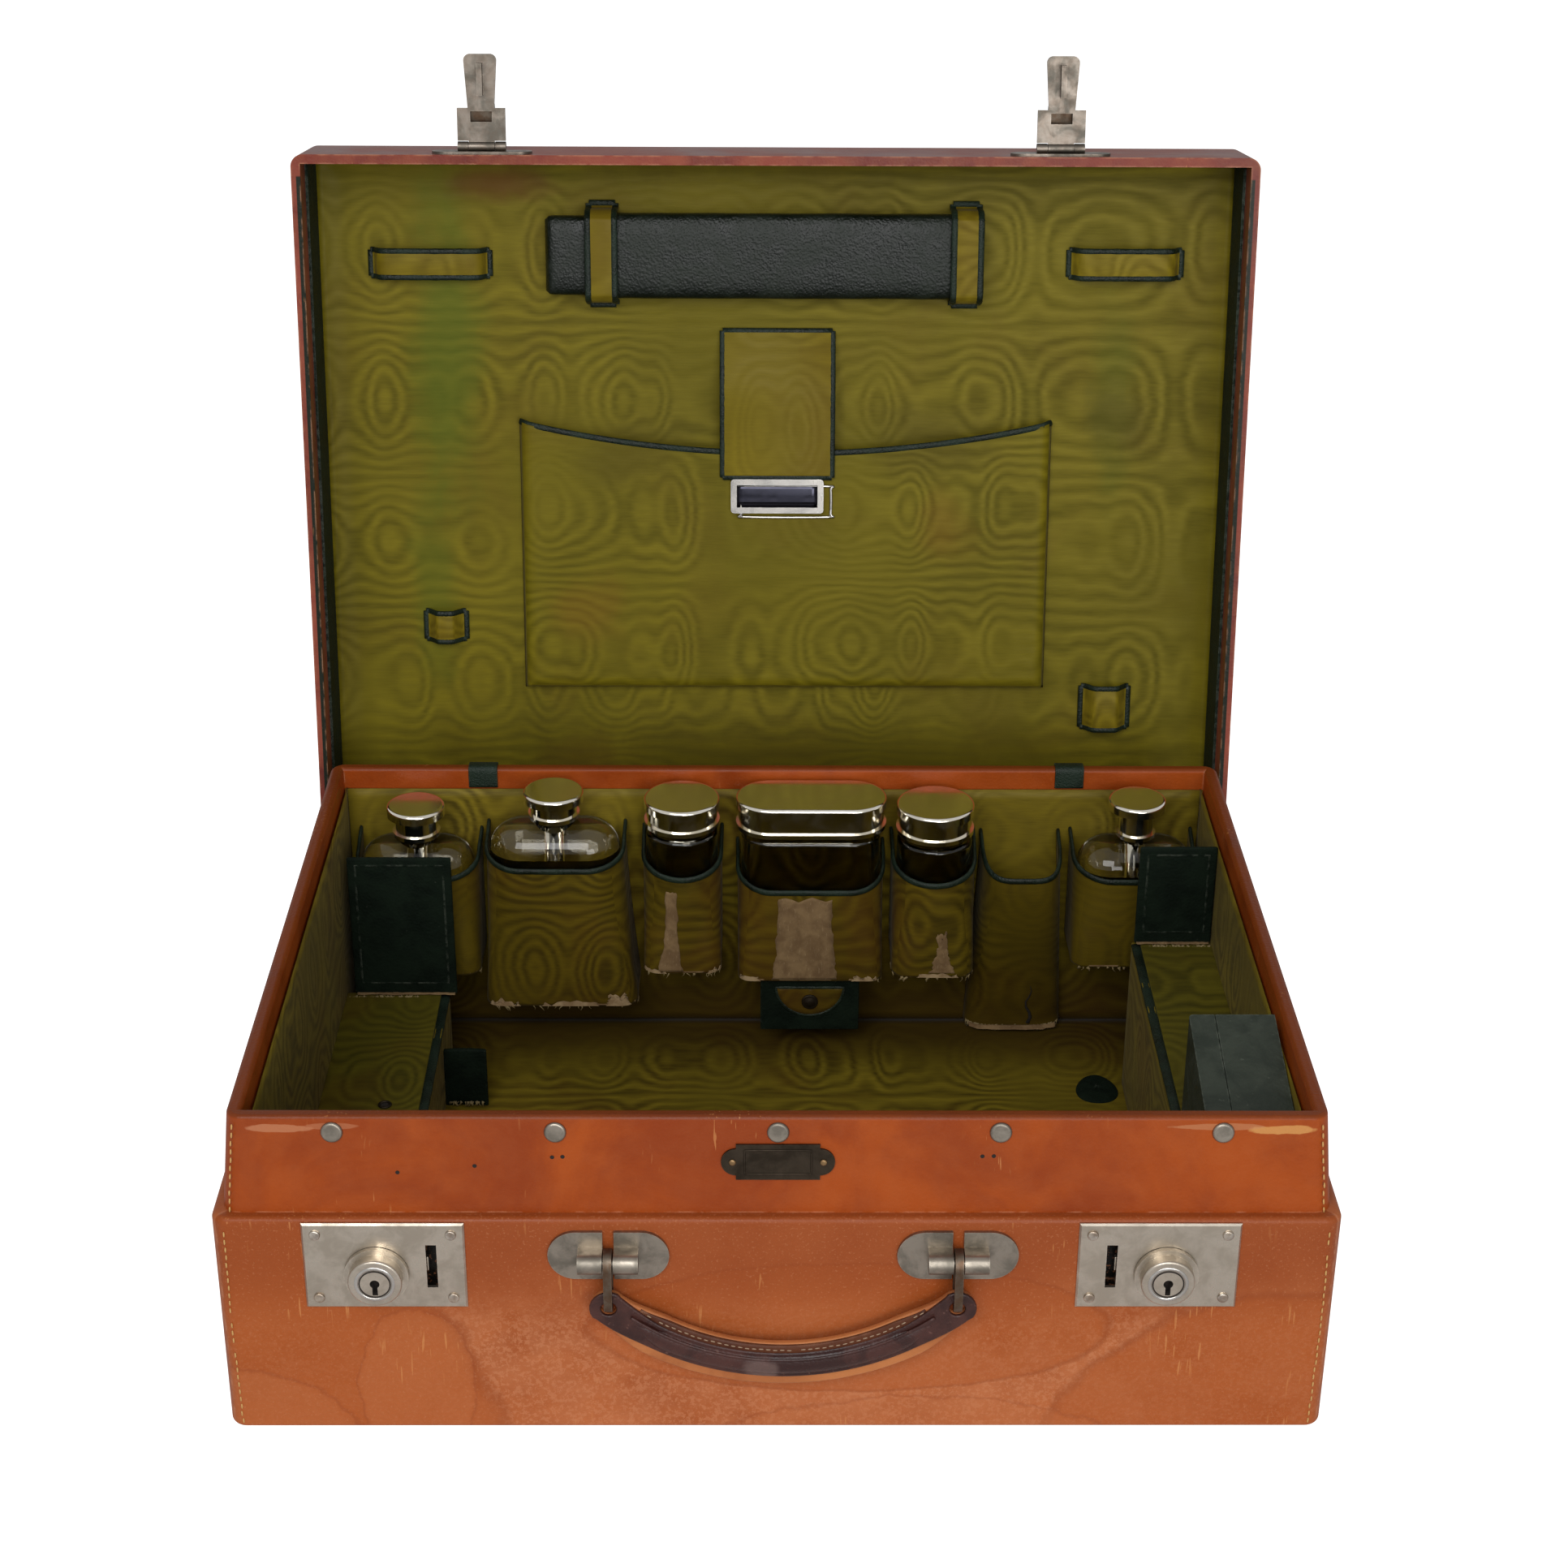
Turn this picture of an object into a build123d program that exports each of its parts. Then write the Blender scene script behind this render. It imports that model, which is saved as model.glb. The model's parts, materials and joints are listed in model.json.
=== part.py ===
from build123d import *
from math import cos, radians, sin, sqrt, tan
import os

os.makedirs("parts", exist_ok=True)

# A fitted dressing case: a leather-covered body and lid, a silk-lined tray of
# bottle pockets along the back wall, two side shelves, and fittings in the lid.
# Origin: centre of the base on the table, +Z up, -Y towards the locks.
# The lid is drawn open; its own frame has x along the hinge, y = minus the
# distance from the hinge pin, z = depth behind the lid's rim.

# --- Body ---------------------------------------------------------------
case_width = 460.0
case_depth = 337.0
body_height = 106.5
collar_height = 44.0
wall_board = 8.3
collar_board = 6.0
collar_side_flare = 4.0
collar_front_flare = 3.6
floor_board = 4.5
lining = 1.5
corner_radius = 7.0
body_edge_radius = 2.5
rim_radius = 2.0
lining_drop = 10.5

# --- Lid ----------------------------------------------------------------
lid_side_overhang = 1.5
lid_height = 54.0
lid_board = 4.5
lid_open_angle = 99.0
lid_front_overhang = 1.0
lid_seat_gap = 0.3
lid_corner_radius = 6.0
lid_edge_radius = 4.0
lid_lining = 0.8
lid_panel = 1.8
lid_lining_start = 14.0
lid_cove_height = 3.2
lid_cove_width = 12.0

# --- Hinges -------------------------------------------------------------
hinge_offset = 1.5
hinge_inset = 83.0
hinge_centre = 1.0
leaf_width = 34.0
leaf_height = 22.0
leaf_thickness = 1.0
knuckle_radius = 2.0
pin_radius = 1.0
running_gap = 0.08
part_gap = 0.3

# --- Locks and hasps ----------------------------------------------------
lock_inset = 72.2
lock_centre = -2.3
lock_height = 84.3
lock_plate_width = 66.0
lock_plate_height = 41.5
lock_plate_thickness = 1.5
lock_slot_inset = 19.2
lock_slot_width = 4.4
lock_slot_height = 21.0
lock_mortise_depth = 6.0
knob_inset = 3.4
knob_drop = 3.6
knob_travel = 4.0
knob_flange_radius = 13.2
knob_flange_height = 2.0
knob_radius = 11.0
knob_height = 5.0
knob_stem_radius = 4.0
knob_head_radius = 5.6
knob_head_height = 1.4
keyhole_radius = 2.0
keyhole_width = 2.2
keyhole_length = 5.5
keyhole_depth = 4.0
screw_radius = 2.3
screw_height = 1.0
screw_spacing_x = 55.0
screw_spacing_z = 31.0
hasp_depth = 9.0
hasp_plate_width = 48.0
hasp_plate_height = 12.0
hasp_plate_thickness = 1.2
hasp_barrel_radius = 2.4
hasp_barrel_sink = 0.4
hasp_pin_radius = 1.0
hasp_ear = 5.0
hasp_tip_radius = 3.0
hasp_shoulder_width = 23.0
hasp_shoulder_height = 18.0
hasp_neck_width = 12.7
hasp_tip_width = 16.0
hasp_length = 43.0
hasp_thickness = 1.8
hasp_window_width = 10.3
hasp_window_height = 5.0
staple_thickness = 2.6
staple_height = 15.0
staple_reach = 5.6

# --- Handle -------------------------------------------------------------
handle_half_spacing = 71.2
handle_centre = 2.3
handle_pivot_height = 89.6
handle_standoff = 6.8
handle_plate_width = 49.5
handle_plate_height = 23.0
handle_plate_thickness = 1.6
handle_barrel_radius = 4.4
handle_barrel_length = 10.0
ring_gap = 4.6
ring_width = 3.4
ring_wire = 3.0
ring_drop = 16.5
ring_hole_radius = 3.2
handle_pin_radius = 2.0
grip_sag = 28.5
grip_height = 19.0
grip_thickness = 4.4
grip_rib_height = 11.0
grip_rib_thickness = 7.6
grip_rib_end = 12.0
grip_hole_radius = 3.4

# --- Trim ---------------------------------------------------------------
stud_radius = 4.5
stud_height = 1.4
stud_inset = 42.7
stud_count = 5
stud_drop = 7.0
nameplate_width = 46.0
nameplate_height = 16.0
nameplate_thickness = 1.0
nameplate_level = 130.2
rim_tab_width = 14.5
rim_tab_thickness = 1.0
rim_tab_back_drop = 30.0

# --- Bottles and pockets: every size is one bottle's own -----------------
# The two end flasks fill the bays between their neighbours and the side
# walls, so their widths and places come with the derived places below.
row_left_margin = 5.7
row_left_gap = 3.5
row_right_gap = 6.0
row_right_margin = 3.7
pocket_wall = 1.5
pocket_floor = 2.0
pocket_play = 0.5
glass_wall = 2.4
glass_floor = 4.0
flask_bore_radius = 5.0
cap_wall = 1.2
cap_play = 0.35
cap_top = 2.4
cap_head_height = 5.0
cap_groove = 1.2
cap_bead_height = 2.2
bottles = {
    "left_flask": dict(
        depth=34.0, base=54.0, front=108.0, side=118.0, top=141.0,
        cap_width=29.0, cap_depth=29.0, cap_height=16.0, shoulder=14.0, neck=3.0, throat=18.0),
    "wide_flask": dict(
        x=-109.5, width=65.0, depth=34.0, base=36.0, front=113.0, side=122.0, top=149.2,
        cap_width=29.7, cap_depth=29.7, cap_height=14.0, shoulder=15.0, neck=3.0, throat=20.0),
    "small_jar": dict(
        x=-46.0, width=35.5, depth=35.5, base=56.0, front=109.0, side=120.0, top=146.0,
        cap_width=37.5, cap_depth=37.5, cap_height=14.0, shoulder=2.5, neck=3.0, throat=0.0),
    "oval_jar": dict(
        x=18.2, width=69.5, depth=32.0, base=49.5, front=100.0, side=112.0, top=146.0,
        cap_width=74.8, cap_depth=35.0, cap_height=16.0, shoulder=2.5, neck=3.0, throat=0.0),
    "large_jar": dict(
        x=79.8, width=37.6, depth=37.6, base=55.0, front=107.0, side=118.0, top=143.5,
        cap_width=38.7, cap_depth=38.7, cap_height=15.0, shoulder=2.5, neck=3.0, throat=0.0),
    "right_flask": dict(
        depth=34.0, base=59.0, front=107.5, side=118.0, top=145.0,
        cap_width=28.4, cap_depth=28.4, cap_height=20.0, shoulder=14.0, neck=2.5, throat=14.0),
}

# --- Empty pocket -------------------------------------------------------
empty_pocket_x = 124.0
empty_pocket_width = 39.0
empty_pocket_depth = 38.0
empty_pocket_foot_width = 50.0
empty_pocket_foot_depth = 13.0
empty_pocket_front = 108.0
empty_pocket_side = 117.0
empty_pocket_foot = 8.0
empty_pocket_corner = 5.0

# --- Side shelves, flaps and what stands on them -------------------------
partition_board = 4.0
shelf_board = 3.0
left_shelf_height = 48.0
left_shelf_width = 51.5
left_shelf_setback = 44.7
right_shelf_height = 88.0
right_shelf_width = 39.0
right_shelf_setback = 62.7
flap_thickness = 2.6
flap_corner = 3.0
left_flap_width = 51.0
left_flap_height = 77.0
right_flap_width = 37.5
right_flap_height = 53.0
left_flap_gap = 4.5
right_flap_gap = 0.5
snap_tab_width = 50.0
snap_tab_length = 29.0
snap_tab_thickness = 2.0
snap_tab_setback = 4.0
box_width = 37.5
box_front_gap = 4.7
box_length = 72.0
box_back_height = 59.0
box_slope = 13.0
box_wall = 2.5
box_spine = 11.0
box_cover = 4.0
box_corner = 2.0
left_tab_width = 21.0
left_tab_height = 32.0
left_tab_thickness = 2.6
left_tab_setback = 38.0
right_disc_width = 21.0
right_disc_length = 26.0
right_disc_thickness = 2.0
right_disc_gap = 2.7
right_disc_setback = 6.0

# --- Lid fittings -------------------------------------------------------
long_case_left = -114.0
long_case_right = 101.0
long_case_inset = 31.0
long_case_width = 42.0
long_case_thickness = 15.5
long_case_radius = 5.0
case_strap_width = 15.0
case_strap_thickness = 1.4
case_strap_foot = 4.0
case_strap_left = -86.0
case_strap_right = 94.5
loop_thickness = 1.2
loop_clear = 7.0
loop_foot = 3.0
# Each loop lies in from a side wall, and in from the front wall or off the hinge.
loops = {
    "upper_left": dict(hand=-1, inset=55.2, front_inset=56.7, width=60.0, length=14.5),
    "upper_right": dict(hand=1, inset=52.6, front_inset=55.9, width=57.0, length=15.0),
    "lower_left": dict(hand=-1, inset=57.4, from_hinge=97.2, width=21.5, length=16.5),
    "lower_right": dict(hand=1, inset=54.3, from_hinge=54.0, width=25.5, length=24.0),
}
pouch_left_inset = 97.5
pouch_right_inset = 86.5
pouch_mouth_drop = 47.0
pouch_dip = 15.5
pouch_foot = 64.0
pouch_wall = 1.4
pouch_clear = 7.0
pouch_gusset = 2.6
strap_x = 1.2
strap_width = 57.0
strap_root_gap = 15.5
strap_length = 75.0
strap_thickness = 2.0
strap_rise = 30.0
buckle_width = 47.0
buckle_height = 17.5
buckle_bar = 3.0
buckle_thickness = 2.6

# --- Derived places -----------------------------------------------------
case_height = body_height + collar_height
front_face = -case_depth / 2
back_face = case_depth / 2
collar_width = case_width - 2 * wall_board
collar_depth = case_depth - 2 * wall_board
inner_width = collar_width - 2 * collar_board
inner_depth = collar_depth - 2 * collar_board
cavity_width = inner_width - 2 * lining
cavity_depth = inner_depth - 2 * lining
cavity_floor = floor_board + lining
cavity_back = cavity_depth / 2
cavity_side = cavity_width / 2

lock_half_spacing = case_width / 2 - lock_inset
stud_pitch = (collar_width - 2 * stud_inset) / (stud_count - 1)
left_shelf_back = cavity_back - left_shelf_setback
right_shelf_back = cavity_back - right_shelf_setback
left_tab_y = left_shelf_back - left_tab_setback
right_disc_y = right_shelf_back - right_disc_setback
right_disc_x = cavity_side - right_shelf_width - right_disc_gap - right_disc_width / 2
box_back = box_front_gap + box_length - cavity_back

pocket_shell = pocket_wall + pocket_play
wide_flask = bottles["wide_flask"]
end_bays = {
    "left_flask": (
        row_left_margin - cavity_side,
        wide_flask["x"] - wide_flask["width"] / 2 - pocket_shell - row_left_gap,
    ),
    "right_flask": (
        empty_pocket_x + empty_pocket_width / 2 + row_right_gap,
        cavity_side - row_right_margin,
    ),
}
for name, (bay_left, bay_right) in end_bays.items():
    bottles[name]["x"] = (bay_left + bay_right) / 2
    bottles[name]["width"] = bay_right - bay_left - 2 * pocket_shell

hinge_spacing = case_width - 2 * hinge_inset
hinge_y = back_face + hinge_offset
hinge_z = body_height + lid_seat_gap
hinge_places = (hinge_centre - hinge_spacing / 2, hinge_centre + hinge_spacing / 2)
lid_angle = radians(lid_open_angle)
lid_frame = Plane(
    origin=(0, hinge_y, hinge_z), x_dir=(1, 0, 0), z_dir=(0, sin(lid_angle), cos(lid_angle))
)
lid_back = -hinge_offset
lid_front = -(hinge_y - front_face + lid_front_overhang)
lid_depth = lid_back - lid_front
lid_middle = (lid_back + lid_front) / 2
lid_roof = lid_height - lid_board
lid_surface = lid_roof - lid_panel
lid_width = case_width + 2 * lid_side_overhang
lid_inner_width = lid_width - 2 * lid_board
lid_inner_depth = lid_depth - 2 * lid_board
for loop in loops.values():
    loop["x"] = loop["hand"] * (lid_inner_width / 2 - loop["inset"])
    if "from_hinge" in loop:
        loop["y"] = -loop["from_hinge"]
    else:
        loop["y"] = lid_front + loop["front_inset"]
long_case_front = -lid_front - long_case_inset
strap_root = long_case_front - long_case_width - strap_root_gap
strap_end = strap_root - strap_length
pouch_mouth = strap_root - pouch_mouth_drop
pouch_left = pouch_left_inset - lid_inner_width / 2
pouch_right = lid_inner_width / 2 - pouch_right_inset

front_plane = Plane.XZ.offset(-front_face)
# The collar's front leans back: its plane has y up the slope, from the rim.
collar_front = collar_depth / 2
collar_plane = Plane(
    origin=(0, -collar_front, case_height),
    x_dir=(1, 0, 0),
    z_dir=(0, -collar_height, collar_front_flare),
)

# --- Body shell ---------------------------------------------------------
# Four mitred boards, rounded where they meet outside.
for side, turn in (("front", 0), ("right", 90), ("back", 180), ("left", 270)):
    across = case_width if turn % 180 == 0 else case_depth
    through = case_depth if turn % 180 == 0 else case_width
    board_plane = Plane.XY.rotated((0, 0, turn))
    inset = wall_board
    with BuildPart() as base_wall:
        with BuildSketch(board_plane):
            RectangleRounded(across, through, corner_radius)
            Polygon(
                (-across / 2, -through / 2),
                (across / 2, -through / 2),
                (across / 2 - inset, -through / 2 + inset),
                (-across / 2 + inset, -through / 2 + inset),
                align=None,
                mode=Mode.INTERSECT,
            )
        extrude(amount=body_height)
        outward = Axis((0, 0, 0), tuple(-board_plane.y_dir))
        low_edges = base_wall.edges().group_by(Axis.Z)[0].sort_by(outward)[-3:]
        high_edges = base_wall.edges().group_by(Axis.Z)[-1].sort_by(outward)[-3:]
        fillet(low_edges + high_edges, body_edge_radius)
        if side == "front":
            for hand in (-1, 1):
                lock_x = lock_centre + hand * lock_half_spacing
                slot_x = lock_x - hand * lock_slot_inset
                knob_x = lock_x + hand * knob_inset
                knob_reach = 2 * (knob_head_radius + part_gap)
                with BuildSketch(front_plane):
                    with Locations((slot_x, lock_height)):
                        Rectangle(lock_slot_width + 2, lock_slot_height + 2)
                    with Locations((knob_x + hand * knob_travel / 2, lock_height - knob_drop)):
                        SlotOverall(knob_reach + knob_travel, knob_reach)
                extrude(amount=-lock_mortise_depth, mode=Mode.SUBTRACT)
        if side == "back":
            with Locations(*[(x, hinge_y, hinge_z) for x in hinge_places]):
                Cylinder(
                    knuckle_radius + part_gap,
                    leaf_width + 2 * part_gap,
                    rotation=(0, 90, 0),
                    mode=Mode.SUBTRACT,
                )
    base_wall.part.label = f"base_{side}_wall"
    export_step(base_wall.part, f"parts/base_{side}_wall.step")

with BuildPart() as base_floor:
    with BuildSketch():
        Rectangle(collar_width, collar_depth)
    extrude(amount=floor_board)
base_floor.part.label = "base_floor"
export_step(base_floor.part, "parts/base_floor.step")

# The inner frame stands on the floor and rises past the walls as the collar,
# whose front and ends flare out over the walls' tops.
with BuildPart() as collar_frame:
    with BuildSketch(Plane.XY.offset(floor_board)):
        Rectangle(collar_width, collar_depth)
    extrude(amount=body_height - floor_board)
    with BuildSketch(Plane.XY.offset(body_height)):
        with Locations((0, -collar_front_flare / 2)):
            RectangleRounded(
                collar_width + 2 * collar_side_flare,
                collar_depth + collar_front_flare,
                corner_radius,
            )
    with BuildSketch(Plane.XY.offset(case_height)):
        RectangleRounded(collar_width, collar_depth, corner_radius)
    loft(ruled=True)
    with BuildSketch(Plane.XY.offset(floor_board)):
        Rectangle(inner_width, inner_depth)
    extrude(amount=case_height, mode=Mode.SUBTRACT)
    fillet(collar_frame.edges().group_by(Axis.Z)[-1], rim_radius)
collar_frame.part.label = "collar_frame"
export_step(collar_frame.part, "parts/collar_frame.step")

# Silk over the floor and up the four sides, ending below the leather rim.
with BuildPart() as base_lining:
    with BuildSketch(Plane.XY.offset(floor_board)):
        Rectangle(inner_width, inner_depth)
    extrude(amount=case_height - lining_drop - floor_board)
    with BuildSketch(Plane.XY.offset(cavity_floor)):
        Rectangle(cavity_width, cavity_depth)
    extrude(amount=case_height, mode=Mode.SUBTRACT)
base_lining.part.label = "base_lining"
export_step(base_lining.part, "parts/base_lining.step")

# --- Trim on the collar ---------------------------------------------------
with BuildPart() as front_studs:
    with BuildSketch(collar_plane):
        with Locations((0, -stud_drop)):
            with GridLocations(stud_pitch, 0, stud_count, 1):
                Circle(stud_radius)
    extrude(amount=stud_height)
    fillet(front_studs.edges().group_by(Axis.Y)[0], stud_height * 0.8)
front_studs.part.label = "front_studs"
export_step(front_studs.part, "parts/front_studs.step")

with BuildPart() as nameplate:
    with BuildSketch(collar_plane):
        with Locations((0, nameplate_level - case_height)):
            Rectangle(nameplate_width - nameplate_height * 0.75, nameplate_height)
            with GridLocations(nameplate_width - nameplate_height * 0.75, 0, 2, 1):
                Circle(nameplate_height * 0.375)
    extrude(amount=nameplate_thickness)
nameplate.part.label = "nameplate"
export_step(nameplate.part, "parts/nameplate.step")

# Two green straps folded over the back of the collar.
with BuildPart() as rim_tabs:
    for x in hinge_places:
        inside = inner_depth / 2
        outside = collar_depth / 2
        low = case_height - lining_drop + part_gap
        with BuildSketch(Plane.YZ.offset(x)):
            with BuildLine():
                Polyline(
                    (inside, low),
                    (inside - rim_tab_thickness, low),
                    (inside - rim_tab_thickness, case_height + rim_tab_thickness),
                    (outside + rim_tab_thickness, case_height + rim_tab_thickness),
                    (outside + rim_tab_thickness, case_height - rim_tab_back_drop),
                    (outside, case_height - rim_tab_back_drop),
                    (outside, case_height),
                    (inside, case_height),
                    close=True,
                )
            make_face()
        extrude(amount=rim_tab_width / 2, both=True)
rim_tabs.part.label = "rim_tabs"
export_step(rim_tabs.part, "parts/rim_tabs.step")

# --- Locks ----------------------------------------------------------------
plate_front = Plane.XZ.offset(-front_face + lock_plate_thickness)
for side, hand in (("left", -1), ("right", 1)):
    lock_x = lock_centre + hand * lock_half_spacing
    slot_x = lock_x - hand * lock_slot_inset
    knob_x = lock_x + hand * knob_inset
    knob_z = lock_height - knob_drop

    with BuildPart() as lock_plate:
        with BuildSketch(front_plane):
            with Locations((lock_x, lock_height)):
                Rectangle(lock_plate_width, lock_plate_height)
        extrude(amount=lock_plate_thickness)
        chamfer(lock_plate.faces().sort_by(Axis.Y)[0].edges(), lock_plate_thickness * 0.5)
        with BuildSketch(front_plane):
            with Locations((slot_x, lock_height)):
                Rectangle(lock_slot_width, lock_slot_height)
            with Locations((knob_x + hand * knob_travel / 2, knob_z)):
                SlotOverall(
                    2 * (knob_stem_radius + part_gap) + knob_travel,
                    2 * (knob_stem_radius + part_gap),
                )
        extrude(amount=lock_plate_thickness, mode=Mode.SUBTRACT)
    lock_plate.part.label = f"{side}_lock_plate"
    export_step(lock_plate.part, f"parts/{side}_lock_plate.step")

    # The round knob slides away from the slot to free the hasp.
    with BuildPart() as lock_knob:
        with BuildSketch(plate_front.offset(part_gap)):
            with Locations((knob_x, knob_z)):
                Circle(knob_flange_radius)
        extrude(amount=knob_flange_height)
        with BuildSketch(plate_front.offset(part_gap + knob_flange_height)):
            with Locations((knob_x, knob_z)):
                Circle(knob_radius)
        extrude(amount=knob_height)
        fillet(lock_knob.edges().group_by(Axis.Y)[0], knob_flange_height / 2)
        with BuildSketch(plate_front.offset(part_gap)):
            with Locations((knob_x, knob_z)):
                Circle(knob_stem_radius)
        extrude(amount=-(lock_plate_thickness + 2 * part_gap))
        with BuildSketch(front_plane.offset(-part_gap)):
            with Locations((knob_x, knob_z)):
                Circle(knob_head_radius)
        extrude(amount=-knob_head_height)
        face_level = part_gap + knob_flange_height + knob_height
        with BuildSketch(plate_front.offset(face_level)):
            with Locations((knob_x, knob_z)):
                Circle(keyhole_radius)
            with Locations((knob_x, knob_z - keyhole_length / 2)):
                Rectangle(keyhole_width, keyhole_length)
        extrude(amount=-keyhole_depth, mode=Mode.SUBTRACT)
    lock_knob.part.label = f"{side}_lock_knob"
    export_step(lock_knob.part, f"parts/{side}_lock_knob.step")

with BuildPart() as lock_screws:
    with BuildSketch(plate_front):
        for hand in (-1, 1):
            with Locations((lock_centre + hand * lock_half_spacing, lock_height)):
                with GridLocations(screw_spacing_x, screw_spacing_z, 2, 2):
                    Circle(screw_radius)
    extrude(amount=screw_height)
    fillet(lock_screws.edges().group_by(Axis.Y)[0], screw_height * 0.7)
lock_screws.part.label = "lock_screws"
export_step(lock_screws.part, "parts/lock_screws.step")

# --- Handle ----------------------------------------------------------------
ring_places = (handle_centre - handle_half_spacing, handle_centre + handle_half_spacing)
pivot_y = front_face - handle_standoff
with BuildPart() as handle_plates:
    for x in ring_places:
        with BuildSketch(front_plane):
            with Locations((x, handle_pivot_height)):
                SlotOverall(handle_plate_width, handle_plate_height)
        extrude(amount=handle_plate_thickness)
        # a raised barrel on each half holds the cross pin
        for hand in (-1, 1):
            start = ring_gap / 2
            middle = x + hand * (start + handle_barrel_length / 2)
            with BuildSketch(Plane.YZ.offset(middle)):
                with Locations((pivot_y, handle_pivot_height)):
                    Circle(handle_barrel_radius)
                with Locations(((pivot_y + front_face) / 2, handle_pivot_height)):
                    Rectangle(handle_standoff, 2 * handle_barrel_radius)
            extrude(amount=handle_barrel_length / 2, both=True)
        with Locations((x, pivot_y, handle_pivot_height)):
            Cylinder(handle_pin_radius, ring_gap + 2, rotation=(0, 90, 0))
        # the ring swings through the plate between the barrels
        with Locations((x, front_face, handle_pivot_height)):
            Box(
                ring_gap,
                2 * handle_plate_thickness,
                handle_plate_height + 1,
                mode=Mode.SUBTRACT,
            )
handle_plates.part.label = "handle_plates"
export_step(handle_plates.part, "parts/handle_plates.step")

ring_outer = ring_hole_radius + ring_wire
with BuildPart() as handle_rings:
    for x in ring_places:
        with BuildSketch(Plane.YZ.offset(x)):
            with Locations((pivot_y, handle_pivot_height), (pivot_y, handle_pivot_height - ring_drop)):
                Circle(ring_outer)
            with Locations((pivot_y, handle_pivot_height - ring_drop / 2)):
                Rectangle(2 * ring_outer, ring_drop)
            with Locations((pivot_y, handle_pivot_height), (pivot_y, handle_pivot_height - ring_drop)):
                Circle(ring_hole_radius, mode=Mode.SUBTRACT)
            with Locations((pivot_y, handle_pivot_height - ring_drop / 2)):
                Rectangle(2 * ring_hole_radius, ring_drop, mode=Mode.SUBTRACT)
        extrude(amount=ring_width / 2, both=True)
handle_rings.part.label = "handle_rings"
export_step(handle_rings.part, "parts/handle_rings.step")

# The strap sags between its two eyes and carries a rolled rib along its middle.
ring_seat = sqrt(ring_hole_radius**2 - (grip_thickness / 2) ** 2)
eye_seat = sqrt(grip_hole_radius**2 - (ring_width / 2) ** 2)
eye_height = handle_pivot_height - ring_drop - ring_seat + part_gap - eye_seat
grip_low = eye_height - grip_sag
grip_plane = Plane.XZ.offset(-pivot_y)
sag_line = ThreePointArc(
    (ring_places[0], eye_height), (handle_centre, grip_low), (ring_places[1], eye_height)
)
rib_share = grip_rib_end / sag_line.length
rib_line = sag_line.trim(rib_share, 1 - rib_share)
with BuildPart() as handle_grip:
    with BuildSketch(grip_plane):
        SlotArc(sag_line, grip_height)
    extrude(amount=grip_thickness / 2, both=True)
    with BuildSketch(grip_plane):
        SlotArc(rib_line, grip_rib_height)
    extrude(amount=grip_rib_thickness / 2, both=True)
    with BuildSketch(grip_plane):
        with Locations(*[(x, eye_height) for x in ring_places]):
            Circle(grip_hole_radius)
    extrude(amount=grip_thickness, both=True, mode=Mode.SUBTRACT)
handle_grip.part.label = "handle_grip"
export_step(handle_grip.part, "parts/handle_grip.step")

# --- Lid shell ------------------------------------------------------------
# Profiles across the lid: lid_side looks along the hinge, lid_end down the lid.
lid_side = Plane(origin=lid_frame.origin, x_dir=lid_frame.y_dir, z_dir=lid_frame.x_dir)
lid_end = Plane(origin=lid_frame.origin, x_dir=lid_frame.x_dir, z_dir=-lid_frame.y_dir)
into_lid = Axis(lid_frame.origin, lid_frame.z_dir)
towards_hinge = Axis(lid_frame.origin, lid_frame.y_dir)
knuckle_length = leaf_width / 3

with BuildPart() as lid_walls:
    with BuildSketch(lid_frame):
        with Locations((0, lid_middle)):
            RectangleRounded(lid_width, lid_depth, lid_corner_radius)
            Rectangle(lid_inner_width, lid_inner_depth, mode=Mode.SUBTRACT)
    extrude(amount=lid_roof)
    with Locations(lid_frame):
        with Locations(*[(x, 0, 0) for x in hinge_places]):
            Cylinder(
                knuckle_radius + part_gap,
                leaf_width + 2 * part_gap,
                rotation=(0, 90, 0),
                mode=Mode.SUBTRACT,
            )
lid_walls.part.label = "lid_walls"
export_step(lid_walls.part, "parts/lid_walls.step")

with BuildPart() as lid_top_board:
    with BuildSketch(lid_frame.offset(lid_roof)):
        with Locations((0, lid_middle)):
            RectangleRounded(lid_width, lid_depth, lid_corner_radius)
    extrude(amount=lid_board)
    fillet(lid_top_board.faces().sort_by(into_lid)[-1].edges(), lid_edge_radius)
lid_top_board.part.label = "lid_top_board"
export_step(lid_top_board.part, "parts/lid_top_board.step")

# The silk covers the panel, its coved border and the two long walls; the end
# walls are faced with thin leather.
silk_width = lid_inner_width - 2 * lid_lining
silk_depth = lid_inner_depth - 2 * lid_lining
with BuildPart() as lid_silk:
    with BuildSketch(lid_frame.offset(lid_lining_start)):
        with Locations((0, lid_middle)):
            Rectangle(silk_width, lid_inner_depth)
    extrude(amount=lid_roof - lid_lining_start)
    with BuildSketch(lid_frame.offset(lid_lining_start)):
        with Locations((0, lid_middle)):
            Rectangle(silk_width, silk_depth)
    extrude(amount=lid_surface - lid_cove_height - lid_lining_start, mode=Mode.SUBTRACT)
    with BuildSketch(lid_frame.offset(lid_surface - lid_cove_height)):
        with Locations((0, lid_middle)):
            Rectangle(silk_width, silk_depth)
    with BuildSketch(lid_frame.offset(lid_surface)):
        with Locations((0, lid_middle)):
            Rectangle(silk_width - 2 * lid_cove_width, silk_depth - 2 * lid_cove_width)
    loft(mode=Mode.SUBTRACT)
lid_silk.part.label = "lid_silk"
export_step(lid_silk.part, "parts/lid_silk.step")

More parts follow.
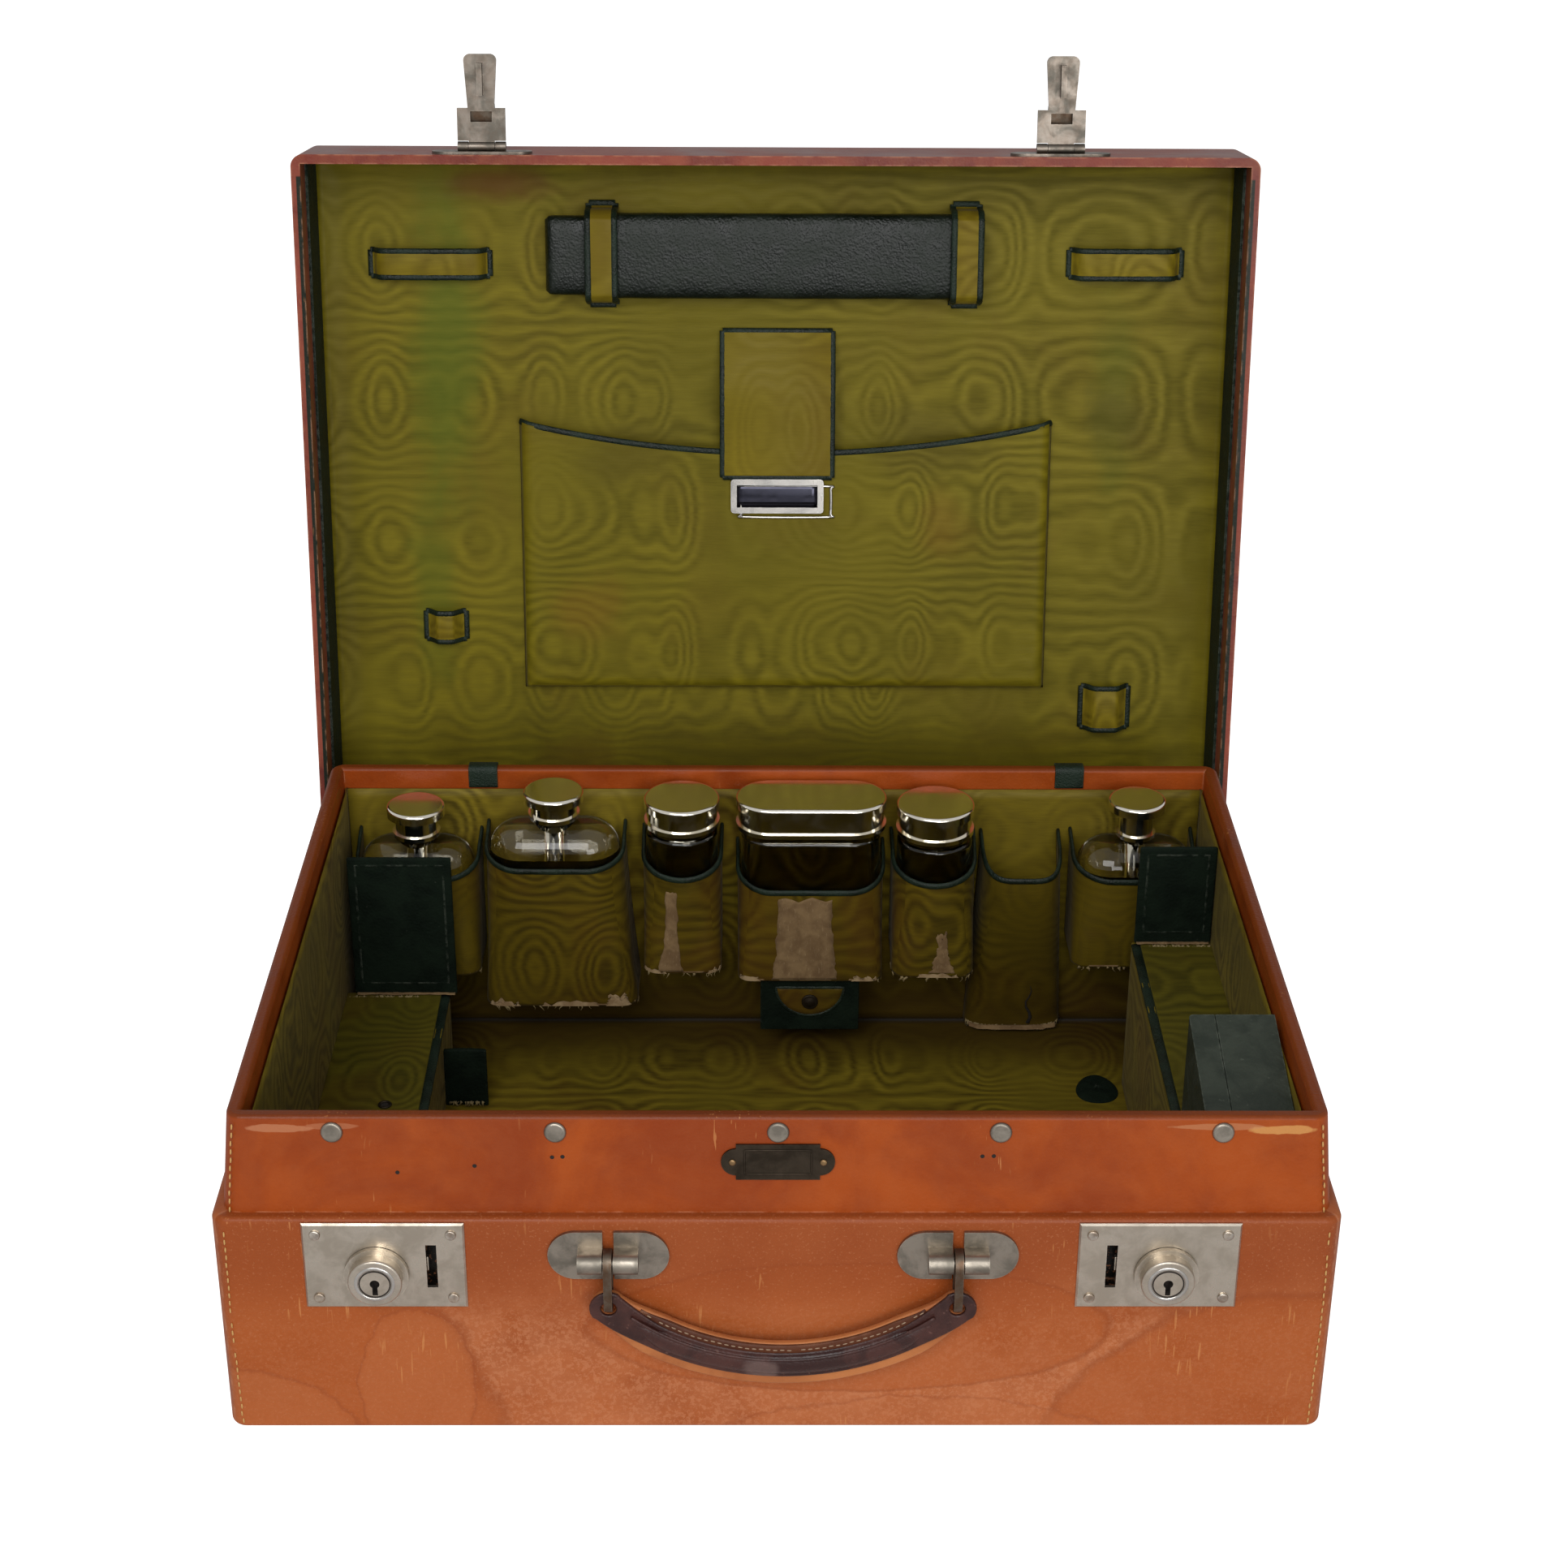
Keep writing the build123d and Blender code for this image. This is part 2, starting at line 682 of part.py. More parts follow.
with BuildPart() as lid_end_facings:
    with BuildSketch(lid_frame.offset(lid_lining_start)):
        with Locations((0, lid_middle)):
            with GridLocations(lid_inner_width - lid_lining, 0, 2, 1):
                Rectangle(lid_lining, lid_inner_depth)
    extrude(amount=lid_roof - lid_lining_start)
lid_end_facings.part.label = "lid_end_facings"
export_step(lid_end_facings.part, "parts/lid_end_facings.step")

# --- Hinges -----------------------------------------------------------------
outer_knuckles = [
    x + hand * knuckle_length for x in hinge_places for hand in (-1, 1)
]
with BuildPart() as body_hinge_leaves:
    with Locations(*[(x, back_face, hinge_z) for x in hinge_places]):
        Box(leaf_width, leaf_thickness, leaf_height, align=(Align.CENTER, Align.MIN, Align.MAX))
    with Locations(*[(x, hinge_y, hinge_z) for x in outer_knuckles]):
        Cylinder(knuckle_radius, knuckle_length, rotation=(0, 90, 0))
    with Locations(*[(x, hinge_y, hinge_z) for x in hinge_places]):
        Cylinder(
            knuckle_radius + part_gap,
            knuckle_length,
            rotation=(0, 90, 0),
            mode=Mode.SUBTRACT,
        )
        Cylinder(pin_radius, leaf_width, rotation=(0, 90, 0))
body_hinge_leaves.part.label = "body_hinge_leaves"
export_step(body_hinge_leaves.part, "parts/body_hinge_leaves.step")

with BuildPart() as lid_hinge_leaves:
    with Locations(lid_frame):
        with Locations(*[(x, lid_back, 0) for x in hinge_places]):
            Box(leaf_width, leaf_thickness, leaf_height, align=(Align.CENTER, Align.MIN, Align.MIN))
        with Locations(*[(x, 0, 0) for x in outer_knuckles]):
            Cylinder(
                knuckle_radius + part_gap,
                knuckle_length + running_gap,
                rotation=(0, 90, 0),
                mode=Mode.SUBTRACT,
            )
        with Locations(*[(x, 0, 0) for x in hinge_places]):
            Cylinder(knuckle_radius, knuckle_length - 2 * running_gap, rotation=(0, 90, 0))
            Cylinder(
                pin_radius + running_gap,
                knuckle_length,
                rotation=(0, 90, 0),
                mode=Mode.SUBTRACT,
            )
lid_hinge_leaves.part.label = "lid_hinge_leaves"
export_step(lid_hinge_leaves.part, "parts/lid_hinge_leaves.step")

# --- Hasps -------------------------------------------------------------------
hasp_places = [
    lock_centre + hand * (lock_half_spacing - lock_slot_inset) for hand in (-1, 1)
]
hasp_pivot = lid_front - hasp_plate_thickness - hasp_barrel_radius + hasp_barrel_sink
hasp_knuckle = hasp_shoulder_width - 2 * hasp_ear
lid_face_plane = lid_end.offset(-lid_front)
with BuildPart() as hasp_plates:
    for x in hasp_places:
        with BuildSketch(lid_face_plane):
            with Locations((x, hasp_depth)):
                SlotOverall(hasp_plate_width, hasp_plate_height)
        extrude(amount=hasp_plate_thickness)
        with Locations(lid_frame):
            for hand in (-1, 1):
                ear_x = x + hand * (hasp_knuckle + hasp_ear) / 2
                with Locations((ear_x, hasp_pivot, hasp_depth)):
                    Cylinder(hasp_barrel_radius, hasp_ear, rotation=(0, 90, 0))
            with Locations((x, hasp_pivot, hasp_depth)):
                Cylinder(
                    hasp_barrel_radius + part_gap,
                    hasp_knuckle,
                    rotation=(0, 90, 0),
                    mode=Mode.SUBTRACT,
                )
                Cylinder(hasp_pin_radius, hasp_shoulder_width, rotation=(0, 90, 0))
hasp_plates.part.label = "hasp_plates"
export_step(hasp_plates.part, "parts/hasp_plates.step")

# Each hasp is drawn standing open; its staple points away from the lid's roof.
for side, x in zip(("left", "right"), hasp_places):
    with BuildPart() as hasp:
        with BuildSketch(lid_frame.offset(hasp_depth)):
            shoulder_start = hasp_pivot - hasp_barrel_radius - part_gap
            shoulder_end = hasp_pivot - hasp_shoulder_height
            tip = hasp_pivot - hasp_length
            with BuildLine():
                Polyline(
                    (x - hasp_shoulder_width / 2, shoulder_start),
                    (x + hasp_shoulder_width / 2, shoulder_start),
                    (x + hasp_shoulder_width / 2, shoulder_end),
                    (x + hasp_neck_width / 2, shoulder_end),
                    (x + hasp_tip_width / 2, tip),
                    (x - hasp_tip_width / 2, tip),
                    (x - hasp_neck_width / 2, shoulder_end),
                    (x - hasp_shoulder_width / 2, shoulder_end),
                    close=True,
                )
            make_face()
            with Locations((x, (hasp_pivot + shoulder_start) / 2)):
                Rectangle(hasp_knuckle - 2 * part_gap, 2 * (hasp_pivot - shoulder_start))
        extrude(amount=hasp_thickness / 2, both=True)
        with Locations(lid_frame):
            with Locations((x, hasp_pivot, hasp_depth)):
                Cylinder(
                    hasp_barrel_radius, hasp_knuckle - 2 * part_gap, rotation=(0, 90, 0)
                )
                Cylinder(
                    hasp_pin_radius + running_gap,
                    hasp_knuckle,
                    rotation=(0, 90, 0),
                    mode=Mode.SUBTRACT,
                )
            with Locations((x, shoulder_end + hasp_shoulder_height / 2 - hasp_window_height, hasp_depth)):
                Box(
                    hasp_window_width,
                    hasp_window_height,
                    2 * hasp_thickness,
                    mode=Mode.SUBTRACT,
                )
            staple_y = hasp_pivot - (hinge_z + hasp_depth - lock_height)
            with Locations((x, staple_y, hasp_depth - hasp_thickness / 2)):
                Box(
                    staple_thickness,
                    staple_height,
                    staple_reach,
                    align=(Align.CENTER, Align.CENTER, Align.MAX),
                )
        fillet(
            hasp.edges().filter_by(into_lid).sort_by(towards_hinge)[:2],
            hasp_tip_radius,
        )
    hasp.part.label = f"{side}_hasp"
    export_step(hasp.part, f"parts/{side}_hasp.step")

# --- Lid fittings ---------------------------------------------------------------
with BuildPart() as long_case:
    case_depth_middle = lid_surface - part_gap - long_case_thickness / 2
    case_y = -(long_case_front - long_case_width / 2)
    with BuildSketch(lid_side.offset(long_case_left)):
        with Locations((case_y, case_depth_middle)):
            RectangleRounded(long_case_width, long_case_thickness, long_case_radius)
    extrude(amount=long_case_right - long_case_left)
long_case.part.label = "long_case"
export_step(long_case.part, "parts/long_case.step")

with BuildPart() as case_straps:
    strap_gap = 2 * part_gap
    over = lid_surface - part_gap - long_case_thickness - strap_gap
    near = case_y - long_case_width / 2 - strap_gap
    far = case_y + long_case_width / 2 + strap_gap
    thick = case_strap_thickness
    for x in (case_strap_left, case_strap_right):
        with BuildSketch(lid_side.offset(x)):
            with BuildLine():
                Polyline(
                    (near - case_strap_foot, lid_surface),
                    (near - case_strap_foot, lid_surface - thick),
                    (near - thick, lid_surface - thick),
                    (near - thick, over),
                    (near, over - thick),
                    (far, over - thick),
                    (far + thick, over),
                    (far + thick, lid_surface - thick),
                    (far + case_strap_foot, lid_surface - thick),
                    (far + case_strap_foot, lid_surface),
                    (far, lid_surface),
                    (far, over),
                    (near, over),
                    (near, lid_surface),
                    close=True,
                )
            make_face()
        extrude(amount=case_strap_width / 2, both=True)
case_straps.part.label = "case_straps"
export_step(case_straps.part, "parts/case_straps.step")

# Raised bands, open at both long edges, for tools to pass under.
with BuildPart() as tool_loops:
    for loop in loops.values():
        half = loop["width"] / 2
        crest = lid_surface - loop_clear - loop_thickness
        ramp = half - loop_foot - loop_clear / 2
        with BuildSketch(lid_end.offset(-loop["y"])):
            with BuildLine():
                right_side = [
                    (loop["x"] + ramp, crest),
                    (loop["x"] + half - loop_foot, lid_surface - loop_thickness),
                    (loop["x"] + half, lid_surface - loop_thickness),
                    (loop["x"] + half, lid_surface),
                    (loop["x"] + half - loop_foot - loop_thickness, lid_surface),
                    (loop["x"] + ramp - loop_thickness, crest + loop_thickness),
                ]
                left_side = [(2 * loop["x"] - across, down) for across, down in reversed(right_side)]
                Polyline(*right_side, *left_side, close=True)
            make_face()
        extrude(amount=loop["length"] / 2, both=True)
tool_loops.part.label = "tool_loops"
export_step(tool_loops.part, "parts/tool_loops.step")

# A flat pouch with a dipped mouth, open towards the front of the lid.
pouch_front = lid_surface - pouch_clear - pouch_wall
pouch_middle = (pouch_left + pouch_right) / 2


def pouch_outline(inset, mouth):
    """Face of the pouch, drawn in by its gusset, with the mouth's sagging edge."""
    with BuildSketch(lid_frame.offset(lid_surface)) as face:
        with BuildLine():
            ThreePointArc(
                (pouch_left + inset, -mouth),
                (pouch_middle, -mouth + pouch_dip),
                (pouch_right - inset, -mouth),
            )
            Polyline(
                (pouch_right - inset, -mouth),
                (pouch_right - inset, -pouch_foot - inset),
                (pouch_left + inset, -pouch_foot - inset),
                (pouch_left + inset, -mouth),
            )
        make_face()
    return face.sketch


with BuildPart() as document_pouch:
    extrude(pouch_outline(0, pouch_mouth), amount=-(pouch_clear + pouch_wall))
    extrude(
        pouch_outline(pouch_gusset, pouch_mouth + pouch_dip),
        amount=-pouch_clear,
        mode=Mode.SUBTRACT,
    )
document_pouch.part.label = "document_pouch"
export_step(document_pouch.part, "parts/document_pouch.step")

# The strap hangs from its sewn end over the mouth of the pouch.
strap_pivot = lid_surface - part_gap - strap_thickness / 2
strap_back = pouch_front - part_gap
with BuildPart() as pouch_strap:
    with BuildSketch(lid_side.offset(strap_x)):
        with BuildLine():
            root = -strap_root + strap_thickness / 2
            drop = -strap_root + strap_rise
            Polyline(
                (root, strap_pivot + strap_thickness / 2),
                (drop, strap_back),
                (-strap_end, strap_back),
                (-strap_end, strap_back - strap_thickness),
                (drop - strap_thickness / 4, strap_back - strap_thickness),
                (root, strap_pivot - strap_thickness / 2),
                close=True,
            )
        make_face()
        with Locations((root, strap_pivot)):
            Circle(strap_thickness / 2)
    extrude(amount=strap_width / 2, both=True)
pouch_strap.part.label = "pouch_strap"
export_step(pouch_strap.part, "parts/pouch_strap.step")

with BuildPart() as strap_buckle:
    with BuildSketch(lid_frame.offset(strap_back)):
        with Locations((strap_x, -strap_end + buckle_height / 2)):
            RectangleRounded(buckle_width, buckle_height, buckle_bar * 0.6)
            Rectangle(
                buckle_width - 2 * buckle_bar,
                buckle_height - 2 * buckle_bar,
                mode=Mode.SUBTRACT,
            )
    extrude(amount=-buckle_thickness)
strap_buckle.part.label = "strap_buckle"
export_step(strap_buckle.part, "parts/strap_buckle.step")


# --- Bottles and their pockets -------------------------------------------------
def round_or_oval(width, depth, gap=0.0):
    """Outline of a round jar or a flat-sided oval one, grown by a gap all round."""
    if width - depth < 1.0:
        Circle(width / 2 + gap)
    else:
        SlotOverall(width + 2 * gap, depth + 2 * gap)


def slanted_top(x, width, near, front, side):
    """Cuts a pocket's mouth so that it dips from the wall to its front."""
    with BuildSketch(Plane.YZ.offset(x)) as above:
        with BuildLine():
            Polyline(
                (near, front),
                (cavity_back, side),
                (cavity_back, case_height),
                (near, case_height),
                close=True,
            )
        make_face()
    extrude(above.sketch, amount=width, both=True, mode=Mode.SUBTRACT)


for name, size in bottles.items():
    x = size["x"]
    width = size["width"]
    depth = size["depth"]
    y = cavity_back - pocket_shell - depth / 2
    foot = size["base"] + pocket_floor + part_gap
    body_top = size["top"] - size["cap_height"] - size["neck"]
    neck_top = size["top"] - cap_top - part_gap
    squeeze = 2 * (cap_wall + cap_play)
    neck_width = size["throat"] or size["cap_width"] - squeeze - 2 * cap_groove
    neck_depth = size["throat"] or size["cap_depth"] - squeeze - 2 * cap_groove

    with BuildPart() as pocket:
        with BuildSketch(Plane.XY.offset(size["base"])):
            with Locations((x, y)):
                round_or_oval(width, depth, pocket_shell)
            with Locations((x, (y + cavity_back) / 2)):
                Rectangle(width + 2 * pocket_shell, cavity_back - y)
        extrude(amount=size["side"] - size["base"])
        with BuildSketch(Plane.XY.offset(size["base"] + pocket_floor)):
            with Locations((x, y)):
                round_or_oval(width, depth, pocket_play)
        extrude(amount=size["side"], mode=Mode.SUBTRACT)
        slanted_top(x, width, y - depth / 2 - 2 * pocket_shell, size["front"], size["side"])
    pocket.part.label = f"{name}_pocket"
    export_step(pocket.part, f"parts/{name}_pocket.step")

    with BuildPart() as bottle:
        with BuildSketch(Plane.XY.offset(foot)):
            with Locations((x, y)):
                round_or_oval(width, depth)
        extrude(amount=body_top - foot)
        fillet(bottle.edges().group_by(Axis.Z)[-1], size["shoulder"])
        fillet(bottle.edges().group_by(Axis.Z)[0], glass_wall * 0.6)
        with BuildSketch(Plane.XY.offset(foot + glass_floor)):
            with Locations((x, y)):
                round_or_oval(neck_width, neck_depth)
        extrude(amount=neck_top - foot - glass_floor)
        with BuildSketch(Plane.XY.offset(foot + glass_floor)):
            with Locations((x, y)):
                round_or_oval(width, depth, -glass_wall)
        extrude(amount=body_top - size["shoulder"] - foot - glass_floor, mode=Mode.SUBTRACT)
        with BuildSketch(Plane.XY.offset(foot + glass_floor)):
            with Locations((x, y)):
                if size["throat"]:
                    Circle(flask_bore_radius)
                else:
                    round_or_oval(neck_width, neck_depth, -glass_wall)
        extrude(amount=neck_top, mode=Mode.SUBTRACT)
    bottle.part.label = name
    export_step(bottle.part, f"parts/{name}.step")

    # Each cap has a wide polished head, a narrower skirt and a bead at its foot.
    skirt_width = neck_width + squeeze
    skirt_depth = neck_depth + squeeze
    cap_foot = size["top"] - size["cap_height"]
    with BuildPart() as cap:
        with BuildSketch(Plane.XY.offset(size["top"] - cap_head_height)):
            with Locations((x, y)):
                round_or_oval(size["cap_width"], size["cap_depth"])
        extrude(amount=cap_head_height)
        fillet(cap.edges().group_by(Axis.Z)[-1], cap_head_height * 0.35)
        with BuildSketch(Plane.XY.offset(cap_foot)):
            with Locations((x, y)):
                round_or_oval(skirt_width, skirt_depth)
        extrude(amount=size["cap_height"] - cap_head_height)
        with BuildSketch(Plane.XY.offset(cap_foot)):
            with Locations((x, y)):
                round_or_oval(skirt_width, skirt_depth, cap_groove)
        extrude(amount=cap_bead_height)
        with BuildSketch(Plane.XY.offset(cap_foot)):
            with Locations((x, y)):
                round_or_oval(neck_width, neck_depth, cap_play)
        extrude(amount=size["cap_height"] - cap_top, mode=Mode.SUBTRACT)
    cap.part.label = f"{name}_cap"
    export_step(cap.part, f"parts/{name}_cap.step")

# The empty pocket narrows towards the wall as it goes down to the floor.
with BuildPart() as empty_pocket:
    for inset, floor_gap, mode in ((0, 0, Mode.ADD), (pocket_wall, pocket_floor, Mode.SUBTRACT)):
        for height, across, through in (
            (empty_pocket_foot + floor_gap, empty_pocket_foot_width, empty_pocket_foot_depth),
            (empty_pocket_side, empty_pocket_width, empty_pocket_depth),
        ):
            with BuildSketch(Plane.XY.offset(height)):
                with Locations((empty_pocket_x, cavity_back - through / 2)):
                    RectangleRounded(
                        across - 2 * inset, through - 2 * inset, empty_pocket_corner - inset
                    )
        loft(mode=mode)
    slanted_top(
        empty_pocket_x,
        empty_pocket_foot_width,
        cavity_back - empty_pocket_depth - 1,
        empty_pocket_front,
        empty_pocket_side,
    )
empty_pocket.part.label = "empty_pocket"
export_step(empty_pocket.part, "parts/empty_pocket.step")

# The snap tab hangs behind the front of the oval jar's pocket.
oval = bottles["oval_jar"]
snap_y = cavity_back - oval["depth"] - 2 * (pocket_wall + pocket_play) + snap_tab_setback
snap_pivot = oval["base"] - part_gap - snap_tab_thickness / 2
with BuildPart() as snap_tab:
    with BuildSketch(Plane.YZ.offset(oval["x"])):
        with Locations((snap_y, snap_pivot)):
            Circle(snap_tab_thickness / 2)
        with Locations((snap_y, snap_pivot - snap_tab_length / 2)):
            Rectangle(snap_tab_thickness, snap_tab_length)
    extrude(amount=snap_tab_width / 2, both=True)
snap_tab.part.label = "snap_tab"
export_step(snap_tab.part, "parts/snap_tab.step")

# --- Side shelves ------------------------------------------------------------------
left_inner = -cavity_side + left_shelf_width
right_inner = cavity_side - right_shelf_width
shelf_sides = (
    (-1, left_inner, left_shelf_height, left_shelf_back),
    (1, right_inner, right_shelf_height, right_shelf_back),
)
with BuildPart() as side_partitions:
    for hand, inner, height, back in shelf_sides:
        with Locations((inner + hand * partition_board / 2, -cavity_depth / 2, cavity_floor)):
            Box(
                partition_board,
                back + cavity_depth / 2,
                height - cavity_floor,
                align=(Align.CENTER, Align.MIN, Align.MIN),
            )
side_partitions.part.label = "side_partitions"
export_step(side_partitions.part, "parts/side_partitions.step")

with BuildPart() as side_shelves:
    for hand, inner, height, back in shelf_sides:
        reach = cavity_side - abs(inner) - partition_board
        middle = hand * (cavity_side - reach / 2)
        with Locations((middle, -cavity_depth / 2, height)):
            Box(
                reach,
                back + cavity_depth / 2,
                shelf_board,
                align=(Align.CENTER, Align.MIN, Align.MAX),
            )
        with Locations((middle, back, cavity_floor)):
            Box(
                reach,
                shelf_board,
                height - cavity_floor,
                align=(Align.CENTER, Align.MAX, Align.MIN),
            )
side_shelves.part.label = "side_shelves"
export_step(side_shelves.part, "parts/side_shelves.step")

left_flap_x = -cavity_side + left_flap_gap + left_flap_width / 2
right_flap_x = cavity_side - right_flap_gap - right_flap_width / 2
for side, x, width, length, level, back in (
    ("left", left_flap_x, left_flap_width, left_flap_height, left_shelf_height, left_shelf_back),
    ("right", right_flap_x, right_flap_width, right_flap_height, right_shelf_height, right_shelf_back),
):
    flap_y = back - flap_thickness / 2
    flap_pivot = level + part_gap + flap_thickness / 2
    with BuildPart() as flap:
        with Locations((x, flap_y, flap_pivot)):
            Box(
                width,
                flap_thickness,
                length - flap_thickness / 2,
                align=(Align.CENTER, Align.CENTER, Align.MIN),
            )
            Cylinder(flap_thickness / 2, width, rotation=(0, 90, 0))
        fillet(flap.edges().filter_by(Axis.Y).group_by(Axis.Z)[-1], flap_corner)
    flap.part.label = f"{side}_flap"
    export_step(flap.part, f"parts/{side}_flap.step")

# --- Sloping leather box on the right shelf -------------------------------------------
box_right = cavity_side - part_gap
box_left = box_right - box_width
box_foot = right_shelf_height + part_gap
box_front = box_back - box_length
box_top = box_foot + box_back_height
cover_seat = box_cover + part_gap


def roof(y, sink=0.0):
    """Height of the box's sloping top at y, lowered square to the slope by sink."""
    return box_top - (box_back - y) * tan(radians(box_slope)) - sink / cos(radians(box_slope))


def box_block(left, right, front, back, low, high, mode=Mode.ADD):
    """Prism between two heights in front and the same two behind."""
    with BuildSketch(Plane.YZ.offset(left)) as profile:
        with BuildLine():
            Polyline(
                (front, low[0]), (back, low[1]), (back, high[1]), (front, high[0]), close=True
            )
        make_face()
    extrude(profile.sketch, amount=right - left, mode=mode)


with BuildPart() as leather_box:
    box_block(
        box_left,
        box_right,
        box_front,
        box_back,
        (box_foot, box_foot),
        (roof(box_front), roof(box_back)),
    )
    fillet(leather_box.edges().filter_by(Axis.Z), box_corner)
    room_front = box_front + box_wall
    room_back = box_back - box_wall
    box_block(
        box_left + box_wall,
        box_right - box_wall,
        room_front,
        room_back,
        (box_foot + box_wall, box_foot + box_wall),
        (roof(room_front, box_cover), roof(room_back, box_cover)),
        Mode.SUBTRACT,
    )
    box_block(
        box_left + box_spine,
        box_right,
        box_front,
        box_back,
        (roof(box_front, cover_seat), roof(box_back, cover_seat)),
        (roof(box_front), roof(box_back)),
        Mode.SUBTRACT,
    )
leather_box.part.label = "leather_box"
export_step(leather_box.part, "parts/leather_box.step")

with BuildPart() as leather_box_cover:
    box_block(
        box_left + box_spine + part_gap,
        box_right - 2 * part_gap,
        box_front,
        box_back,
        (roof(box_front, box_cover), roof(box_back, box_cover)),
        (roof(box_front), roof(box_back)),
    )
leather_box_cover.part.label = "leather_box_cover"
export_step(leather_box_cover.part, "parts/leather_box_cover.step")

# Loose leather tabs on the tray floor beside the two partitions.
with BuildPart() as floor_tabs:
    with Locations((left_inner, left_tab_y, cavity_floor)):
        Box(
            left_tab_width,
            left_tab_thickness,
            left_tab_height,
            align=(Align.MIN, Align.CENTER, Align.MIN),
        )
    with BuildSketch(Plane.XY.offset(cavity_floor)):
        with Locations((right_disc_x, right_disc_y)):
            Ellipse(right_disc_width / 2, right_disc_length / 2)
    extrude(amount=right_disc_thickness)
floor_tabs.part.label = "floor_tabs"
export_step(floor_tabs.part, "parts/floor_tabs.step")
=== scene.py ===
import json
import math
import random

import bmesh
import bpy
from mathutils import Matrix, Vector, noise


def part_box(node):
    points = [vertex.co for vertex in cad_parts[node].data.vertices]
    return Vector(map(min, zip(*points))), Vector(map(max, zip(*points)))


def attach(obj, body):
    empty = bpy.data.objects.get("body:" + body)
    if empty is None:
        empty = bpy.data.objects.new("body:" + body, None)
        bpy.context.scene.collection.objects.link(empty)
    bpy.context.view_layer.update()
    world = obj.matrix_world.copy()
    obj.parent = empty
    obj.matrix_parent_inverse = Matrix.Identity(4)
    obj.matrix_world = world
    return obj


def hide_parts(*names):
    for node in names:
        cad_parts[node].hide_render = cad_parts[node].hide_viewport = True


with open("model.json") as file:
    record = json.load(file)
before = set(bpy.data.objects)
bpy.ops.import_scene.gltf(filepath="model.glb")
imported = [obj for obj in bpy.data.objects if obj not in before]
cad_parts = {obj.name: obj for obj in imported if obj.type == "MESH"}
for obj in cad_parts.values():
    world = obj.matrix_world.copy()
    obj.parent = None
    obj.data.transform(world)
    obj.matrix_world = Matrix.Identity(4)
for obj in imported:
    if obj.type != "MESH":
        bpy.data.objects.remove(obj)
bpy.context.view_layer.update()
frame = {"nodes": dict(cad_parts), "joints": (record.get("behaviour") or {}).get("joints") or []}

mm = 0.001
along_x = Vector((1, 0, 0))
to_front, to_back = Vector((0, -1, 0)), Vector((0, 1, 0))
upward, downward = Vector((0, 0, 1)), Vector((0, 0, -1))
sides = (("left", -1), ("right", 1))
nodes = frame["nodes"]
joints = {joint["name"]: joint for joint in frame["joints"]}
seat_gap = 0.3 * mm
lid_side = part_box("lid_walls")[1].x
lid_top_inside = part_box("lid_silk")[1].z - 3 * mm

# --- Lid frame: x along the hinge, s up the lid from the hinge, d depth behind the rim -----
lid_hinge = Vector(joints["lid_hinge"]["pos_m"])
lid_angle = math.radians(-joints["lid_hinge"]["range_deg"][0])
along_lid = Vector((0, -math.cos(lid_angle), math.sin(lid_angle)))
into_lid = Vector((0, math.sin(lid_angle), math.cos(lid_angle)))


def lid_point(x, s, d):
    """Point of the open lid, from its own three distances."""
    return lid_hinge + Vector((x, 0, 0)) + s * along_lid + d * into_lid


def lid_place(point):
    """The lid's own three distances of a point."""
    offset = Vector(point) - lid_hinge
    return Vector((offset.x, offset.dot(along_lid), offset.dot(into_lid)))


def lid_span(node):
    """Lowest and highest x, s and d of a node of the lid."""
    places = [lid_place(vertex.co) for vertex in nodes[node].data.vertices]
    return Vector(map(min, zip(*places))), Vector(map(max, zip(*places)))


front_low, front_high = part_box("base_front_wall")
back_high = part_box("base_back_wall")[1]
collar_low, collar_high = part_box("collar_frame")
collar_points = [vertex.co for vertex in nodes["collar_frame"].data.vertices]
collar_foot = min(collar_points, key=lambda point: (round(point.y, 5), point.z))
collar_brow = min(
    (point for point in collar_points if point.z > front_high.z + 10 * mm),
    key=lambda point: (round(point.y, 5), -point.z))


def collar_face(z):
    """Where the collar's sloping front is, at a height."""
    share = (z - collar_foot.z) / (collar_brow.z - collar_foot.z)
    return collar_foot.y + (collar_brow.y - collar_foot.y) * share


# --- Small geometry tools ------------------------------------------------------------------
def rough(point, size, seed=0.0):
    """Smooth noise from -1 to 1 with features of one size."""
    return noise.noise(Vector(point) / size + Vector((seed, seed * 1.7, -seed)))


def ease(value):
    """Smooth step from 0 to 1."""
    value = min(max(value, 0.0), 1.0)
    return value * value * (3 - 2 * value)


def grid(columns, rows, place, closed=False):
    """Points and faces of a sheet where place(u, v) gives each point."""
    count = columns if closed else columns + 1
    points = [place(i / columns, j / rows) for j in range(rows + 1) for i in range(count)]
    faces = []
    for j in range(rows):
        for i in range(columns):
            near, far = j * count, (j + 1) * count
            following = (i + 1) % count
            faces.append((near + i, near + following, far + following, far + i))
    return points, faces


def smooth_path(points, steps=6, closed=False):
    """Points of a round-cornered path through a few chosen ones."""
    points = [Vector(point) for point in points]
    last = len(points) - 1
    result = []
    for i in range(last + 1 if closed else last):
        if closed:
            before, start, end, after = (points[(i + k) % (last + 1)] for k in (-1, 0, 1, 2))
        else:
            before, start = points[max(i - 1, 0)], points[i]
            end, after = points[i + 1], points[min(i + 2, last)]
        for step in range(steps):
            t = step / steps
            result.append(0.5 * (
                2 * start + (end - before) * t
                + (2 * before - 5 * start + 4 * end - after) * t ** 2
                + (3 * start - before - 3 * end + after) * t ** 3
            ))
    if not closed:
        result.append(points[-1])
    return result


def full_turn(count):
    """Evenly spaced angles round a circle."""
    return [2 * math.pi * k / count for k in range(count)]


